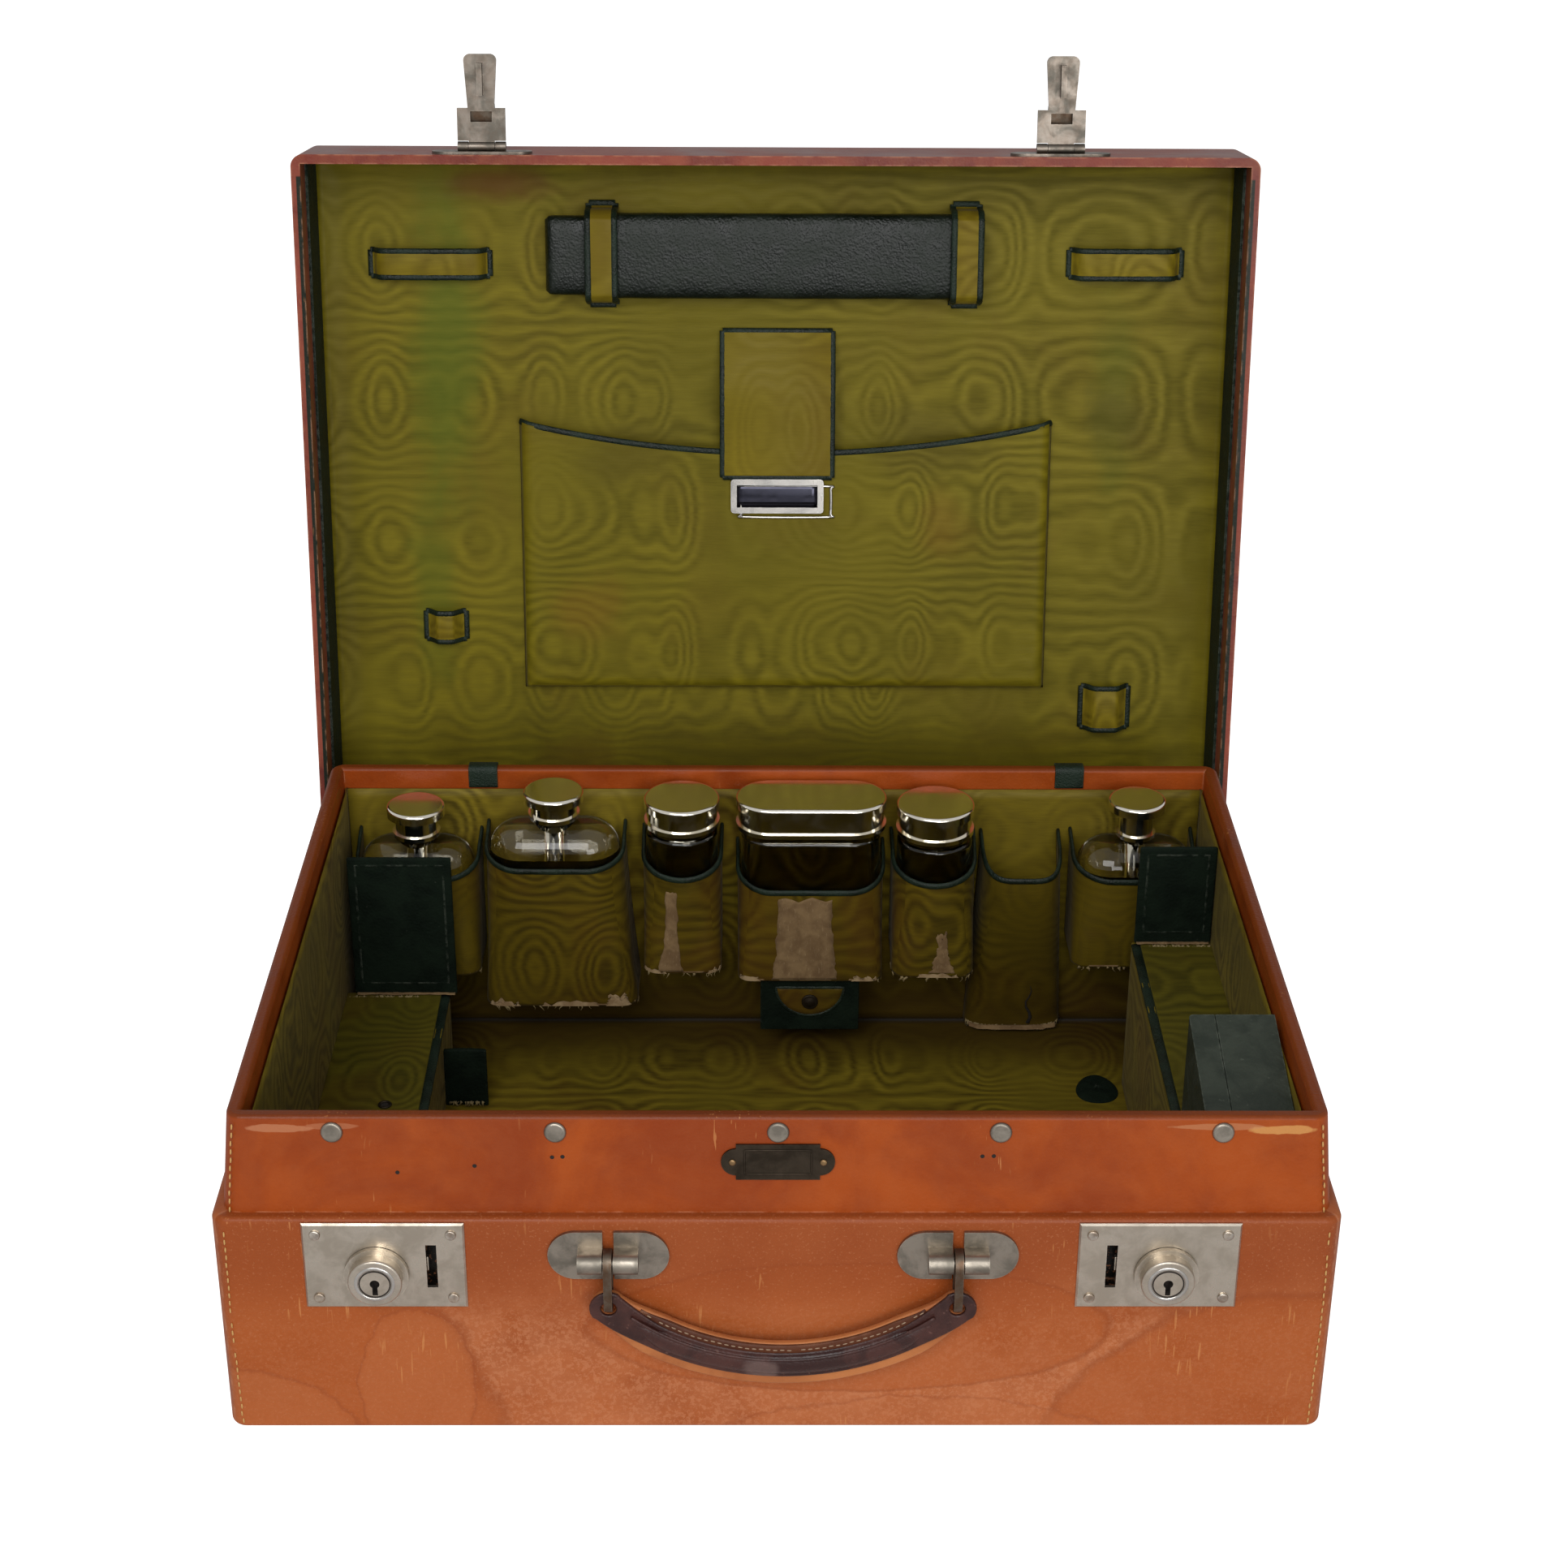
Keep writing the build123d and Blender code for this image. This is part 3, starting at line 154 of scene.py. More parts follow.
def rectangle(x0, z0, x1, z1, steps):
    """x and z along the four sides of a rectangle, each side in steps."""
    corners = [(x0, z0), (x1, z0), (x1, z1), (x0, z1)]
    return [(a + (c - a) * k / steps, b + (d - b) * k / steps)
            for (a, b), (c, d) in zip(corners, corners[1:] + corners[:1])
            for k in range(steps)]


def path_length(points):
    """Length of a path."""
    return sum((b - a).length for a, b in zip(points, points[1:]))


def bulged(value, power):
    """A sine or cosine raised to a power, its sign kept."""
    return math.copysign(abs(value) ** power, value)


def round_section(side, out, corners=8):
    """Oval outline, side wide and out thick, as half sizes."""
    return [(side * math.cos(turn), out * math.sin(turn)) for turn in full_turn(corners)]


def flat_section(side, out, edge=0.4):
    """Outline of a strap with rounded edges, as half sizes."""
    inner = side - out * edge * 2
    return [
        (side, 0), (inner + out * edge, out * 0.8), (inner, out), (0, out), (-inner, out),
        (-inner - out * edge, out * 0.8), (-side, 0), (-inner - out * edge, -out * 0.8),
        (-inner, -out), (0, -out), (inner, -out), (inner + out * edge, -out * 0.8),
    ]


def out_at(out, index):
    """The outward way at a point of a path, where it may change along it."""
    return out(index) if callable(out) else out


def sweep(points, section, out, closed=False, swell=None):
    """Points and faces of a section carried along a path. out is the way its top faces."""
    rings, count, total = [], len(section), len(points)
    for i, point in enumerate(points):
        before = points[i - 1] if i or closed else point
        after = points[(i + 1) % total] if i + 1 < total or closed else point
        tangent = (after - before).normalized()
        facing = out_at(out, i)
        top = (facing - tangent * facing.dot(tangent)).normalized()
        side = tangent.cross(top)
        size = swell(i / max(total - 1, 1)) if swell else 1.0
        rings += [point + side * a * size + top * b * size for a, b in section]
    faces = []
    for i in range(total if closed else total - 1):
        near, far = i * count, (i + 1) % total * count
        for k in range(count):
            following = (k + 1) % count
            faces.append((near + k, near + following, far + following, far + k))
    if not closed:
        faces.append(tuple(reversed(range(count))))
        faces.append(tuple(range((total - 1) * count, total * count)))
    return rings, faces


def join(*parts):
    """One set of points and faces out of several."""
    points, faces = [], []
    for more_points, more_faces in parts:
        start = len(points)
        points += more_points
        faces += [tuple(start + k for k in face) for face in more_faces]
    return points, faces


def block(low, high, cells, bend=lambda point: point):
    """A box with its faces divided into cells, so that it can be bent."""
    low, high = Vector(low), Vector(high)
    walls = []
    for axis in range(3):
        first, second = (axis + 1) % 3, (axis + 2) % 3
        for end in (0, 1):
            def place(u, v):
                u = u if end else 1 - u
                point = Vector((0, 0, 0))
                point[axis] = (low, high)[end][axis]
                point[first] = low[first] + (high[first] - low[first]) * u
                point[second] = low[second] + (high[second] - low[second]) * v
                return point
            walls.append(grid(cells[first], cells[second], place))
    points, faces = join(*walls)
    return [Vector(bend(point)) for point in points], faces


def merge_close(mesh, distance=1e-5):
    """Joins points that lie on each other."""
    work = bmesh.new()
    work.from_mesh(mesh)
    bmesh.ops.remove_doubles(work, verts=work.verts, dist=distance)
    bmesh.ops.recalc_face_normals(work, faces=work.faces)
    work.to_mesh(mesh)
    work.free()


def lay_cloth(mesh, place, seed):
    """Gives each face corner its place on the flat cloth, in metres, for the silk's figure."""
    flat = []
    for polygon in mesh.polygons:
        origin = place(polygon.center)
        tip = place(polygon.center + polygon.normal * mm) - origin
        strongest = max(range(3), key=lambda k: abs(tip[k]))
        across, up = ((1, 2), (0, 2), (0, 1))[strongest]
        for index in polygon.vertices:
            spot = place(mesh.vertices[index].co)
            flat += [spot[across], spot[up], seed]
    layer = mesh.attributes.new("cloth", "FLOAT_VECTOR", "CORNER")
    layer.data.foreach_set("vector", flat)


def shown(name, data):
    """A new object of the scene."""
    thing = bpy.data.objects.new(name, data)
    bpy.context.scene.collection.objects.link(thing)
    return thing


def piece(name, shape, material, body, slot=None, cloth=None, smooth=True, merge=False):
    """A new piece from points and faces, riding on a body of the case."""
    points, faces = shape
    mesh = bpy.data.meshes.new(name)
    mesh.from_pydata([tuple(point) for point in points], [], faces)
    if merge:
        merge_close(mesh)
    mesh.polygons.foreach_set("use_smooth", [smooth] * len(mesh.polygons))
    mesh.materials.append(material)
    if cloth is not None:
        place = lid_place if body in ("lid", "pouch_strap") else Vector
        lay_cloth(mesh, place, cloth)
    thing = shown(name, mesh)
    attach(thing, body)
    return thing


def thicken(thing, thickness):
    """Gives a sheet its thickness, behind its visible side."""
    modifier = thing.modifiers.new("thickness", "SOLIDIFY")
    modifier.thickness = thickness
    modifier.offset = -1


def soften(thing, width, segments=2):
    """Rounds the edges of a piece and gives it back."""
    modifier = thing.modifiers.new("edges", "BEVEL")
    modifier.width = width
    modifier.segments = segments
    modifier.limit_method = "ANGLE"
    return thing


# --- Node tools ----------------------------------------------------------------------------
def link(value, socket):
    """Links an output to an input of the same tree."""
    value.id_data.links.new(value, socket)


def is_socket(value):
    """Whether a value is a node's output, not a constant."""
    return isinstance(value, bpy.types.NodeSocket)


def put(kind, values=None, tree=None, **settings):
    """A node with its settings and inputs. Its tree is that of the first output it takes."""
    values = values or {}
    tree = tree or next(value.id_data for value in values.values() if is_socket(value))
    node = tree.nodes.new(kind)
    for key, value in settings.items():
        setattr(node, key, value)
    for key, value in values.items():
        if is_socket(value):
            link(value, node.inputs[key])
        else:
            node.inputs[key].default_value = value
    return node


def calc(operation, *values, clamp=False):
    """One step of arithmetic."""
    node = put("ShaderNodeMath", dict(enumerate(values)), operation=operation, use_clamp=clamp)
    return node.outputs[0]


def times(first, second):
    """Product of two values."""
    return calc("MULTIPLY", first, second)


def line_of(value, slope, start, clamp=False):
    """A value times a slope, plus a start."""
    return calc("MULTIPLY_ADD", value, slope, start, clamp=clamp)


def vector_calc(operation, *values):
    """One step of arithmetic with vectors."""
    node = put("ShaderNodeVectorMath", dict(enumerate(values)), operation=operation)
    return node.outputs["Value" if operation in ("DOT_PRODUCT", "LENGTH") else "Vector"]


def split(vector):
    """The X, Y and Z of a vector."""
    return put("ShaderNodeSeparateXYZ", {"Vector": vector}).outputs


def fade(value, start, end, low=0.0, high=1.0):
    """Smooth step of a value between two others."""
    values = {"Value": value, "From Min": start, "From Max": end, "To Min": low, "To Max": high}
    return put("ShaderNodeMapRange", values, interpolation_type="SMOOTHSTEP").outputs[0]


def mix(amount, first, second):
    """Mix of two colours."""
    first, second = (value if is_socket(value) else (*value, 1) for value in (first, second))
    values = {0: amount, 6: first, 7: second}
    return put("ShaderNodeMix", values, data_type="RGBA").outputs[2]


def tinted(colour, mask, strength, tint):
    """A colour drawn towards a tint where a mask shows."""
    return mix(times(mask, strength), colour, tint)


def stretch(vector, scale, turn=(0, 0, 0), shift=(0, 0, 0)):
    """The vector turned and scaled."""
    values = {"Vector": vector, "Scale": scale, "Rotation": turn, "Location": shift}
    return put("ShaderNodeMapping", values).outputs[0]


def noise_map(vector, scale, detail=3.0, roughness=0.5, distortion=0.0):
    """Noise between 0 and 1."""
    values = {
        "Vector": vector, "Scale": scale, "Detail": detail, "Roughness": roughness,
        "Distortion": distortion,
    }
    return put("ShaderNodeTexNoise", values).outputs["Fac"]


def group(name, outputs, **inputs):
    """A new node group: its Vector input, all its inputs and its outputs."""
    tree = bpy.data.node_groups.new(name, "ShaderNodeTree")
    for key, value in {"Vector": (0, 0, 0), **inputs}.items():
        kind = "NodeSocketFloat" if isinstance(value, float) else "NodeSocketVector"
        socket = tree.interface.new_socket(name=key, in_out="INPUT", socket_type=kind)
        socket.default_value = value
    for key in outputs:
        tree.interface.new_socket(name=key, in_out="OUTPUT", socket_type="NodeSocketFloat")
    source = tree.nodes.new("NodeGroupInput").outputs
    return source["Vector"], source, tree.nodes.new("NodeGroupOutput").inputs


def use(name, where, **values):
    """The outputs of a shared node group placed in a material."""
    return put("ShaderNodeGroup", {"Vector": where, **values},
               node_tree=bpy.data.node_groups[name]).outputs


# --- Shared effects ------------------------------------------------------------------------
def build_hide_grain():
    """Leather grain: small rounded cells over finer noise."""
    where, source, target = group("Hide grain", ["Height"], Scale=900.0, Creases=0.3)
    cells = put("ShaderNodeTexVoronoi", {"Vector": where, "Scale": source["Scale"]},
                feature="SMOOTH_F1")
    fine = noise_map(where, times(source["Scale"], 0.35), 4.0, 0.65)
    crease = times(fine, source["Creases"])
    link(calc("ADD", cells.outputs["Distance"], crease), target["Height"])


def build_blotches():
    """Slow changes of tone, with softer and harder ones mixed."""
    where, source, target = group("Blotches", ["Tone"], Scale=20.0)
    wide = noise_map(where, source["Scale"], 5.0, 0.6, 0.4)
    link(fade(wide, 0.34, 0.66), target["Tone"])


def build_speckle():
    """Small pale or dark flecks."""
    where, source, target = group("Speckle", ["Flecks"], Scale=900.0, Share=0.3)
    fine = noise_map(where, source["Scale"], 2.0, 0.7)
    edge = calc("SUBTRACT", 0.78, times(source["Share"], 0.4))
    link(fade(fine, edge, calc("ADD", edge, 0.09)), target["Flecks"])


def build_scratches():
    """Thin short strokes in three slants, in patches."""
    where, source, target = group("Scratches", ["Strokes"], Scale=60.0, Share=0.5)
    strokes = []
    for turn, shift in ((0.75, 0.0), (-0.95, 3.1), (1.35, 7.7)):
        slanted = stretch(where, (1, 1, 0.08), (0, turn, 0), (shift, 0, shift))
        thin = noise_map(slanted, times(source["Scale"], 30.0), 0.0)
        strokes.append(fade(thin, 0.775, 0.81))
    either = calc("MAXIMUM", strokes[0], calc("MAXIMUM", strokes[1], strokes[2]))
    start = calc("SUBTRACT", 0.8, times(source["Share"], 0.5))
    shown = fade(noise_map(where, source["Scale"], 2.0), start, calc("ADD", start, 0.1))
    link(times(either, shown), target["Strokes"])


def build_edge_nearness():
    """How close the surface is to a sharp edge, broken up by noise."""
    where, source, target = group("Edge nearness", ["Edge"], Width=1.5 * mm, Breaks=180.0)
    rounded = put("ShaderNodeBevel", {"Radius": source["Width"]}, samples=4).outputs[0]
    plain = put("ShaderNodeNewGeometry", tree=where.id_data).outputs["Normal"]
    sharp = fade(calc("SUBTRACT", 1.0, vector_calc("DOT_PRODUCT", rounded, plain)), 0.01, 0.22)
    broken = fade(noise_map(where, source["Breaks"], 3.0), 0.4, 0.62)
    link(times(sharp, broken), target["Edge"])


def build_watered_figure():
    """Watered silk: rows of nested ovals, with level lines running between the rows."""
    where, source, target = group(
        "Watered figure", ["Figure", "Ribs", "Drift"], Rows=0.074, Hump=0.034, Lines=3.6)
    rib_pitch = 0.55 * mm
    warp = put("ShaderNodeTexNoise", {"Vector": where, "Scale": 9.0, "Detail": 1.0})
    centred = vector_calc("SUBTRACT", warp.outputs["Color"], (0.5, 0.5, 0.5))
    small = vector_calc("MULTIPLY", centred, (0.012, 0.014, 0))
    parts = split(vector_calc("ADD", where, small))
    turn = times(calc("DIVIDE", parts["Y"], source["Rows"]), math.pi)
    wave = calc("COSINE", calc("ADD", turn, parts["Z"]))
    across = calc("DIVIDE", parts["X"], source["Hump"])
    spot = put("ShaderNodeCombineXYZ", {"X": across, "Y": times(parts["Y"], 1.6), "Z": parts["Z"]})
    humps = noise_map(spot.outputs[0], 1.0, 1.0, 0.4)
    swell = line_of(calc("SUBTRACT", humps, 0.5), 3.6, 1.0)
    weft = stretch(where, (0.25, 1.6, 1.0))
    height = line_of(wave, swell, times(noise_map(weft, 90.0, 3.0), 0.16))
    levels = calc("COSINE", times(height, times(source["Lines"], 2 * math.pi)))
    shown = fade(noise_map(weft, 210.0, 2.0), 0.3, 0.7, 0.35, 1.0)
    link(line_of(levels, times(shown, 0.5), 0.5), target["Figure"])
    ribs = calc("SINE", times(parts["Y"], 2 * math.pi / rib_pitch))
    link(line_of(ribs, 0.5, 0.5), target["Ribs"])
    link(noise_map(where, 14.0, 4.0, 0.6), target["Drift"])


def build_oval_patch():
    """Inside: 1 in the middle of an oval and 0 at its outline. Rim: 1 along the outline."""
    where, source, target = group(
        "Oval patch", ["Inside", "Rim"], Centre=(0, 0, 0), Reach=(0.01, 0.01, 0.01),
        Raggedness=0.0, Softness=0.14)
    offset = vector_calc("SUBTRACT", where, source["Centre"])
    length = vector_calc("LENGTH", vector_calc("DIVIDE", offset, source["Reach"]))
    ragged = calc("SUBTRACT", noise_map(where, 45.0, 4.0, 0.6), 0.5)
    edge = calc("ADD", length, times(ragged, source["Raggedness"]))
    link(fade(edge, 1.0, calc("SUBTRACT", 1.0, source["Softness"])), target["Inside"])
    nearness = calc("ABSOLUTE", calc("SUBTRACT", edge, 0.97))
    link(fade(nearness, 0.035, 0.0), target["Rim"])


for build in (build_hide_grain, build_blotches, build_speckle, build_scratches,
              build_edge_nearness, build_watered_figure, build_oval_patch):
    build()


def blotches(where, scale):
    """Slow changes of tone."""
    return use("Blotches", where, Scale=scale)["Tone"]


def speckle(where, scale, share):
    """Small flecks."""
    return use("Speckle", where, Scale=scale, Share=share)["Flecks"]


def edge_nearness(where, width, breaks):
    """Nearness to a sharp edge."""
    return use("Edge nearness", where, Width=width, Breaks=breaks)["Edge"]


def hide_grain(where, scale, creases):
    """Height of leather grain."""
    return use("Hide grain", where, Scale=scale, Creases=creases)["Height"]


def oval_patch(where, centre, reach, raggedness, softness=0.14):
    """Inside and rim of an oval."""
    return use("Oval patch", where, Centre=centre, Reach=reach, Raggedness=raggedness,
               Softness=softness)


# A reach far over the case's own depth, and the depths of the panel and the pouch in mm.
right_through = 1.0
cloth_depth = 47
pouch_depth = 40


def oval_stain(where, x, z, wide, tall, raggedness, softness=0.14):
    """An oval in x and z, in millimetres, that runs through the case from front to back."""
    return oval_patch(where, (x * mm, 0, z * mm), (wide * mm, right_through, tall * mm),
                      raggedness, softness)


# --- Materials -----------------------------------------------------------------------------
def new_material(name, **constants):
    """A material, its Principled shader with constant values, and the case's own places."""
    material = bpy.data.materials.new(name)
    material.use_nodes = True
    shader = material.node_tree.nodes["Principled BSDF"]
    for key, value in constants.items():
        shader.inputs[key.replace("_", " ")].default_value = value
    where = put("ShaderNodeTexCoord", tree=material.node_tree).outputs["Object"]
    return material, shader, where


def connect(shader, colour, roughness=None, height=None, depth=0.1 * mm):
    """Links what changes over the surface to the shader."""
    link(colour, shader.inputs["Base Color"])
    if roughness is not None:
        link(roughness, shader.inputs["Roughness"])
    if height is not None:
        bump = put("ShaderNodeBump", {"Height": height, "Distance": depth, "Strength": 1.0})
        link(bump.outputs[0], shader.inputs["Normal"])


def front_marks(where, colour):
    """Bloom low down, water stains with dried edges, a redder top and painted shade in the
    mortises.
    """
    height = split(where)["Z"]
    low_down = fade(height, 78 * mm, 44 * mm)
    mottle = times(speckle(where, 620.0, 0.72), times(low_down, 0.38))
    colour = mix(mottle, colour, (0.58, 0.24, 0.115))
    bloom = times(blotches(where, 55.0), times(low_down, 0.3))
    colour = mix(bloom, colour, (0.50, 0.19, 0.085))
    for x, z, wide, tall, strength in (
        (-300, -20, 194, 160, 0.75), (215, -40, 116, 114, 0.65), (30, 52, 112, 34, 0.55),
    ):
        dark = oval_stain(where, x, z, wide, tall, 0.1, 0.06)
        colour = tinted(colour, dark["Rim"], 0.45, (0.19, 0.036, 0.009))
        colour = tinted(colour, dark["Inside"], strength, (0.37, 0.082, 0.014))
    for x, z, wide, tall in ((-232, -6, 60, 40), (-150, 22, 26, 40), (60, -14, 92, 32)):
        pale = oval_stain(where, x, z, wide, tall, 0.35, 0.12)
        colour = tinted(colour, pale["Rim"], 0.35, (0.24, 0.050, 0.014))
        colour = tinted(colour, pale["Inside"], 0.3, (0.48, 0.150, 0.050))
    middle = oval_stain(where, 0, 10, 150, 60, 0.9)
    colour = tinted(colour, middle["Inside"], 0.12, (0.50, 0.165, 0.062))
    colour = mix(fade(height, 48 * mm, 88 * mm, 0.0, 0.75), colour, (0.27, 0.055, 0.011))
    return mortise_shade(where, colour)


def mortise_shade(where, colour):
    """Painted shade: blackens the inside of the two mortises behind the lock plates."""
    parts = split(where)
    limits = (
        (calc("ABSOLUTE", parts["X"]), 120 * mm, 190 * mm),
        (parts["Y"], front_low.y + 0.5 * mm, front_high.y + mm),
        (parts["Z"], 66 * mm, 104 * mm),
    )
    x, y, z = (times(calc("GREATER_THAN", value, start), calc("LESS_THAN", value, end))
               for value, start, end in limits)
    return mix(times(times(x, y), z), colour, (0.004, 0.003, 0.002))


def lid_rim_marks(where, colour):
    """The dark facing that laps over the inner half of the lid's end rims."""
    parts = split(where)
    turned_in = fade(calc("ABSOLUTE", parts["X"]), lid_side - 2.2 * mm, lid_side - 2.6 * mm)
    low_enough = fade(parts["Z"], lid_top_inside, lid_top_inside - mm)
    rim = lid_point(0, 0, 0).dot(into_lid)
    on_rim = fade(vector_calc("DOT_PRODUCT", where, into_lid), rim + 0.7 * mm, rim + 0.4 * mm)
    lapped = times(on_rim, times(turned_in, low_enough))
    return mix(lapped, colour, (0.008, 0.012, 0.006))


def collar_marks(where, colour):
    """A rubbed bald patch and pale scuffs at the collar's front corners, and a darkened rim."""
    crown = fade(split(where)["Z"], collar_high.z - 1.8 * mm, collar_high.z - 0.5 * mm, 0.0, 0.6)
    colour = mix(crown, colour, (0.115, 0.026, 0.006))
    for x, z, wide, tall, strength, tint in (
        (203, 144.6, 15, 3.0, 0.85, (0.58, 0.27, 0.08)),
        (178, 146, 24, 1.6, 0.5, (0.50, 0.22, 0.10)),
        (-201, 145, 17, 2.2, 0.7, (0.48, 0.19, 0.09)),
        (-180, 146, 12, 1.8, 0.5, (0.45, 0.17, 0.08)),
    ):
        scuff = oval_patch(where, (x * mm, collar_low.y, z * mm),
                           (wide * mm, 12 * mm, tall * mm), 1.3)
        colour = tinted(colour, scuff["Inside"], strength, tint)
    return colour


def case_hide(name, pale, deep, marks=None, scratched=0.5, speckled=0.35, chalky=0.12):
    """Waxed tan cow hide, blotched and scuffed, paler along its edges: partly wear, partly painted
    highlight.
    """
    material, shader, where = new_material(name, Coat_Roughness=0.25, Specular_IOR_Level=0.16)
    tone = blotches(where, 16.0)
    colour = tinted(mix(tone, deep, pale), blotches(where, 90.0), chalky, (0.60, 0.22, 0.085))
    if marks:
        colour = marks(where, colour)
    flecks = speckle(where, 760.0, speckled)
    strokes = use("Scratches", where, Scale=26.0, Share=scratched)["Strokes"]
    for mask, strength, tint in (
        (flecks, 0.3, (0.52, 0.20, 0.09)),
        (speckle(where, 160.0, 0.02), 0.55, (0.10, 0.025, 0.01)),
        (strokes, 0.45, (0.62, 0.27, 0.09)),
        # Paler edges: partly wear, partly a painted highlight along the rounded edges.
        (edge_nearness(where, 1.6 * mm, 150.0), 0.5, (0.74, 0.36, 0.20)),
    ):
        colour = tinted(colour, mask, strength, tint)
    dull = line_of(tone, 0.12, line_of(flecks, 0.15, 0.36))
    connect(shader, colour, dull, hide_grain(where, 950.0, 0.8), 0.12 * mm)
    link(line_of(tone, -0.06, 0.1), shader.inputs["Coat Weight"])
    return material


def back_shade_under_pockets(parts):
    """Painted shade along the back of the tray, low down under the pockets."""
    low_down = fade(parts["Z"], 62 * mm, 16 * mm)
    far_back = fade(parts["Y"], 92 * mm, 140 * mm)
    return times(low_down, times(far_back, 0.8))


def pocket_dirt(parts):
    """The darker feet of the pockets."""
    return fade(parts["Z"], 70 * mm, 18 * mm, 0.0, 0.5)


def lid_stains_and_shade(where, colour):
    """A long green bleed, russet stains, darker patches and painted shade in bands along the lid's
    lower and upper edges, placed by x, s and d of the lid.
    """
    for x, s, d, wide, tall, tint, strength in (
        (-166, 245, cloth_depth, 24, 120, (0.088, 0.125, 0.008), 0.6),
        (-176, 120, cloth_depth, 18, 70, (0.09, 0.12, 0.008), 0.45),
        (172, 215, cloth_depth, 16, 70, (0.095, 0.12, 0.008), 0.35),
        (-138, 322, cloth_depth, 34, 13, (0.13, 0.045, 0.008), 0.7),
        (-98, 108, pouch_depth, 26, 24, (0.20, 0.10, 0.008), 0.4),
        (86, 150, pouch_depth, 20, 24, (0.19, 0.09, 0.008), 0.35),
        (-95, 20, cloth_depth, 38, 24, (0.12, 0.05, 0.008), 0.4),
        # Painted shade: a dark band along the lid's lower edge, and one under the cove along its
        # upper edge.
        (0, 18, cloth_depth, 290, 48, (0.062, 0.046, 0.003), 0.5),
        (20, 334, cloth_depth, 260, 16, (0.066, 0.050, 0.003), 0.5),
        (-72, 190, cloth_depth, 40, 26, (0.070, 0.052, 0.003), 0.45),
        (78, 196, cloth_depth, 44, 26, (0.070, 0.052, 0.003), 0.45),
        (176, 205, cloth_depth, 26, 30, (0.068, 0.050, 0.003), 0.45),
    ):
        patch = oval_patch(where, lid_point(x * mm, s * mm, d * mm),
                           (wide * mm, right_through, tall * mm), 1.2, 0.85)
        colour = tinted(colour, patch["Inside"], strength, tint)
    return colour


def moire_silk(name, pale, deep, stained, worn=0.0, low_dirt_and_shade=None, marks=None):
    """Watered silk whose figure comes from each piece's own cloth layout."""
    material, shader, where = new_material(
        name, Sheen_Weight=0.03, Sheen_Roughness=0.4, Specular_IOR_Level=0.12)
    cloth = put("ShaderNodeAttribute", tree=where.id_data, attribute_name="cloth")
    cloth = cloth.outputs["Vector"]
    silk = use("Watered figure", cloth, Rows=0.074, Hump=0.032, Lines=3.6)
    strength = fade(noise_map(where, 11.0, 1.0), 0.34, 0.62, 0.2, 1.0)
    figure = times(calc("SUBTRACT", silk["Figure"], 0.5), strength)
    tone = calc("ADD", line_of(silk["Drift"], 1.1, -0.05), figure, clamp=True)
    slub = noise_map(stretch(cloth, (0.06, 1.0, 1.0)), 1500.0, 2.0)
    tone = line_of(calc("SUBTRACT", slub, 0.5), 0.5, tone, clamp=True)
    colour = mix(tone, deep, pale)
    stains = calc("POWER", blotches(where, 13.0), 3.0)
    colour = tinted(colour, stains, stained, (0.10, 0.042, 0.006))
    if low_dirt_and_shade:
        # Darker colour low down: painted shade under the pockets on the tray lining, dirt at the
        # feet of the pockets.
        colour = mix(low_dirt_and_shade(split(where)), colour, (0.036, 0.016, 0.003))
    colour = tinted(colour, speckle(where, 60.0, 0.04), 0.05 + worn, (0.34, 0.29, 0.10))
    if marks:
        colour = marks(where, colour)
    height = line_of(silk["Ribs"], 0.3, times(silk["Figure"], 0.2))
    connect(shader, colour, line_of(silk["Figure"], -0.14, 0.56), height, 0.05 * mm)
    return material


def green_leather(name, deep, pale, grain_scale, worn, gloss, shine, grain_depth=0.3 * mm):
    """Dark green grained leather, rubbed pale on its edges and in specks."""
    material, shader, where = new_material(name, Specular_IOR_Level=shine)
    tone = blotches(where, 70.0)
    colour = mix(tone, deep, pale)
    colour = tinted(colour, speckle(where, 260.0, worn), worn, (0.16, 0.18, 0.14))
    colour = tinted(colour, edge_nearness(where, 1.2 * mm, 300.0), 0.5, (0.17, 0.19, 0.15))
    grain = hide_grain(where, grain_scale, 1.0)
    connect(shader, colour, line_of(tone, 0.14, gloss), grain, grain_depth)
    return material


def brown_leather():
    """Dark polished brown leather of the grip, rubbed grey on its crown."""
    material, shader, where = new_material(
        "Grip leather", Coat_Weight=0.06, Coat_Roughness=0.3, Specular_IOR_Level=0.35)
    tone = blotches(where, 60.0)
    colour = mix(tone, (0.026, 0.0068, 0.0055), (0.062, 0.019, 0.014))
    crown = oval_patch(where, (-7 * mm, -180 * mm, 38 * mm), (9 * mm, right_through, 7 * mm),
                       1.6, 0.5)
    colour = tinted(colour, crown["Inside"], 0.35, (0.24, 0.16, 0.14))
    colour = tinted(colour, speckle(where, 340.0, 0.3), 0.3, (0.26, 0.13, 0.10))
    grain = hide_grain(where, 1000.0, 1.2)
    connect(shader, colour, line_of(tone, 0.15, 0.34), grain, 0.15 * mm)
    return material


def metal(name, clean, dirty, polish, dull, tarnish=0.5, rust=0.0):
    """Plated metal with tarnish in clouds and rubbed edges."""
    material, shader, where = new_material(name, Metallic=1.0)
    cloud = blotches(where, 110.0)
    colour = mix(times(cloud, tarnish), clean, dirty)
    colour = tinted(colour, speckle(where, 900.0, 0.35), 0.3 * tarnish, dirty)
    if rust:
        colour = tinted(colour, blotches(where, 240.0), rust, (0.10, 0.045, 0.02))
    rubbed = tuple(min(part * 1.7, 0.95) for part in clean)
    colour = tinted(colour, edge_nearness(where, 0.7 * mm, 500.0), 0.6, rubbed)
    brushed = noise_map(stretch(where, (1, 1, 14)), 500.0, 3.0, 0.7)
    sheen = line_of(brushed, 0.06, line_of(cloud, dull - polish, polish))
    connect(shader, colour, sheen, brushed, 0.008 * mm)
    return material


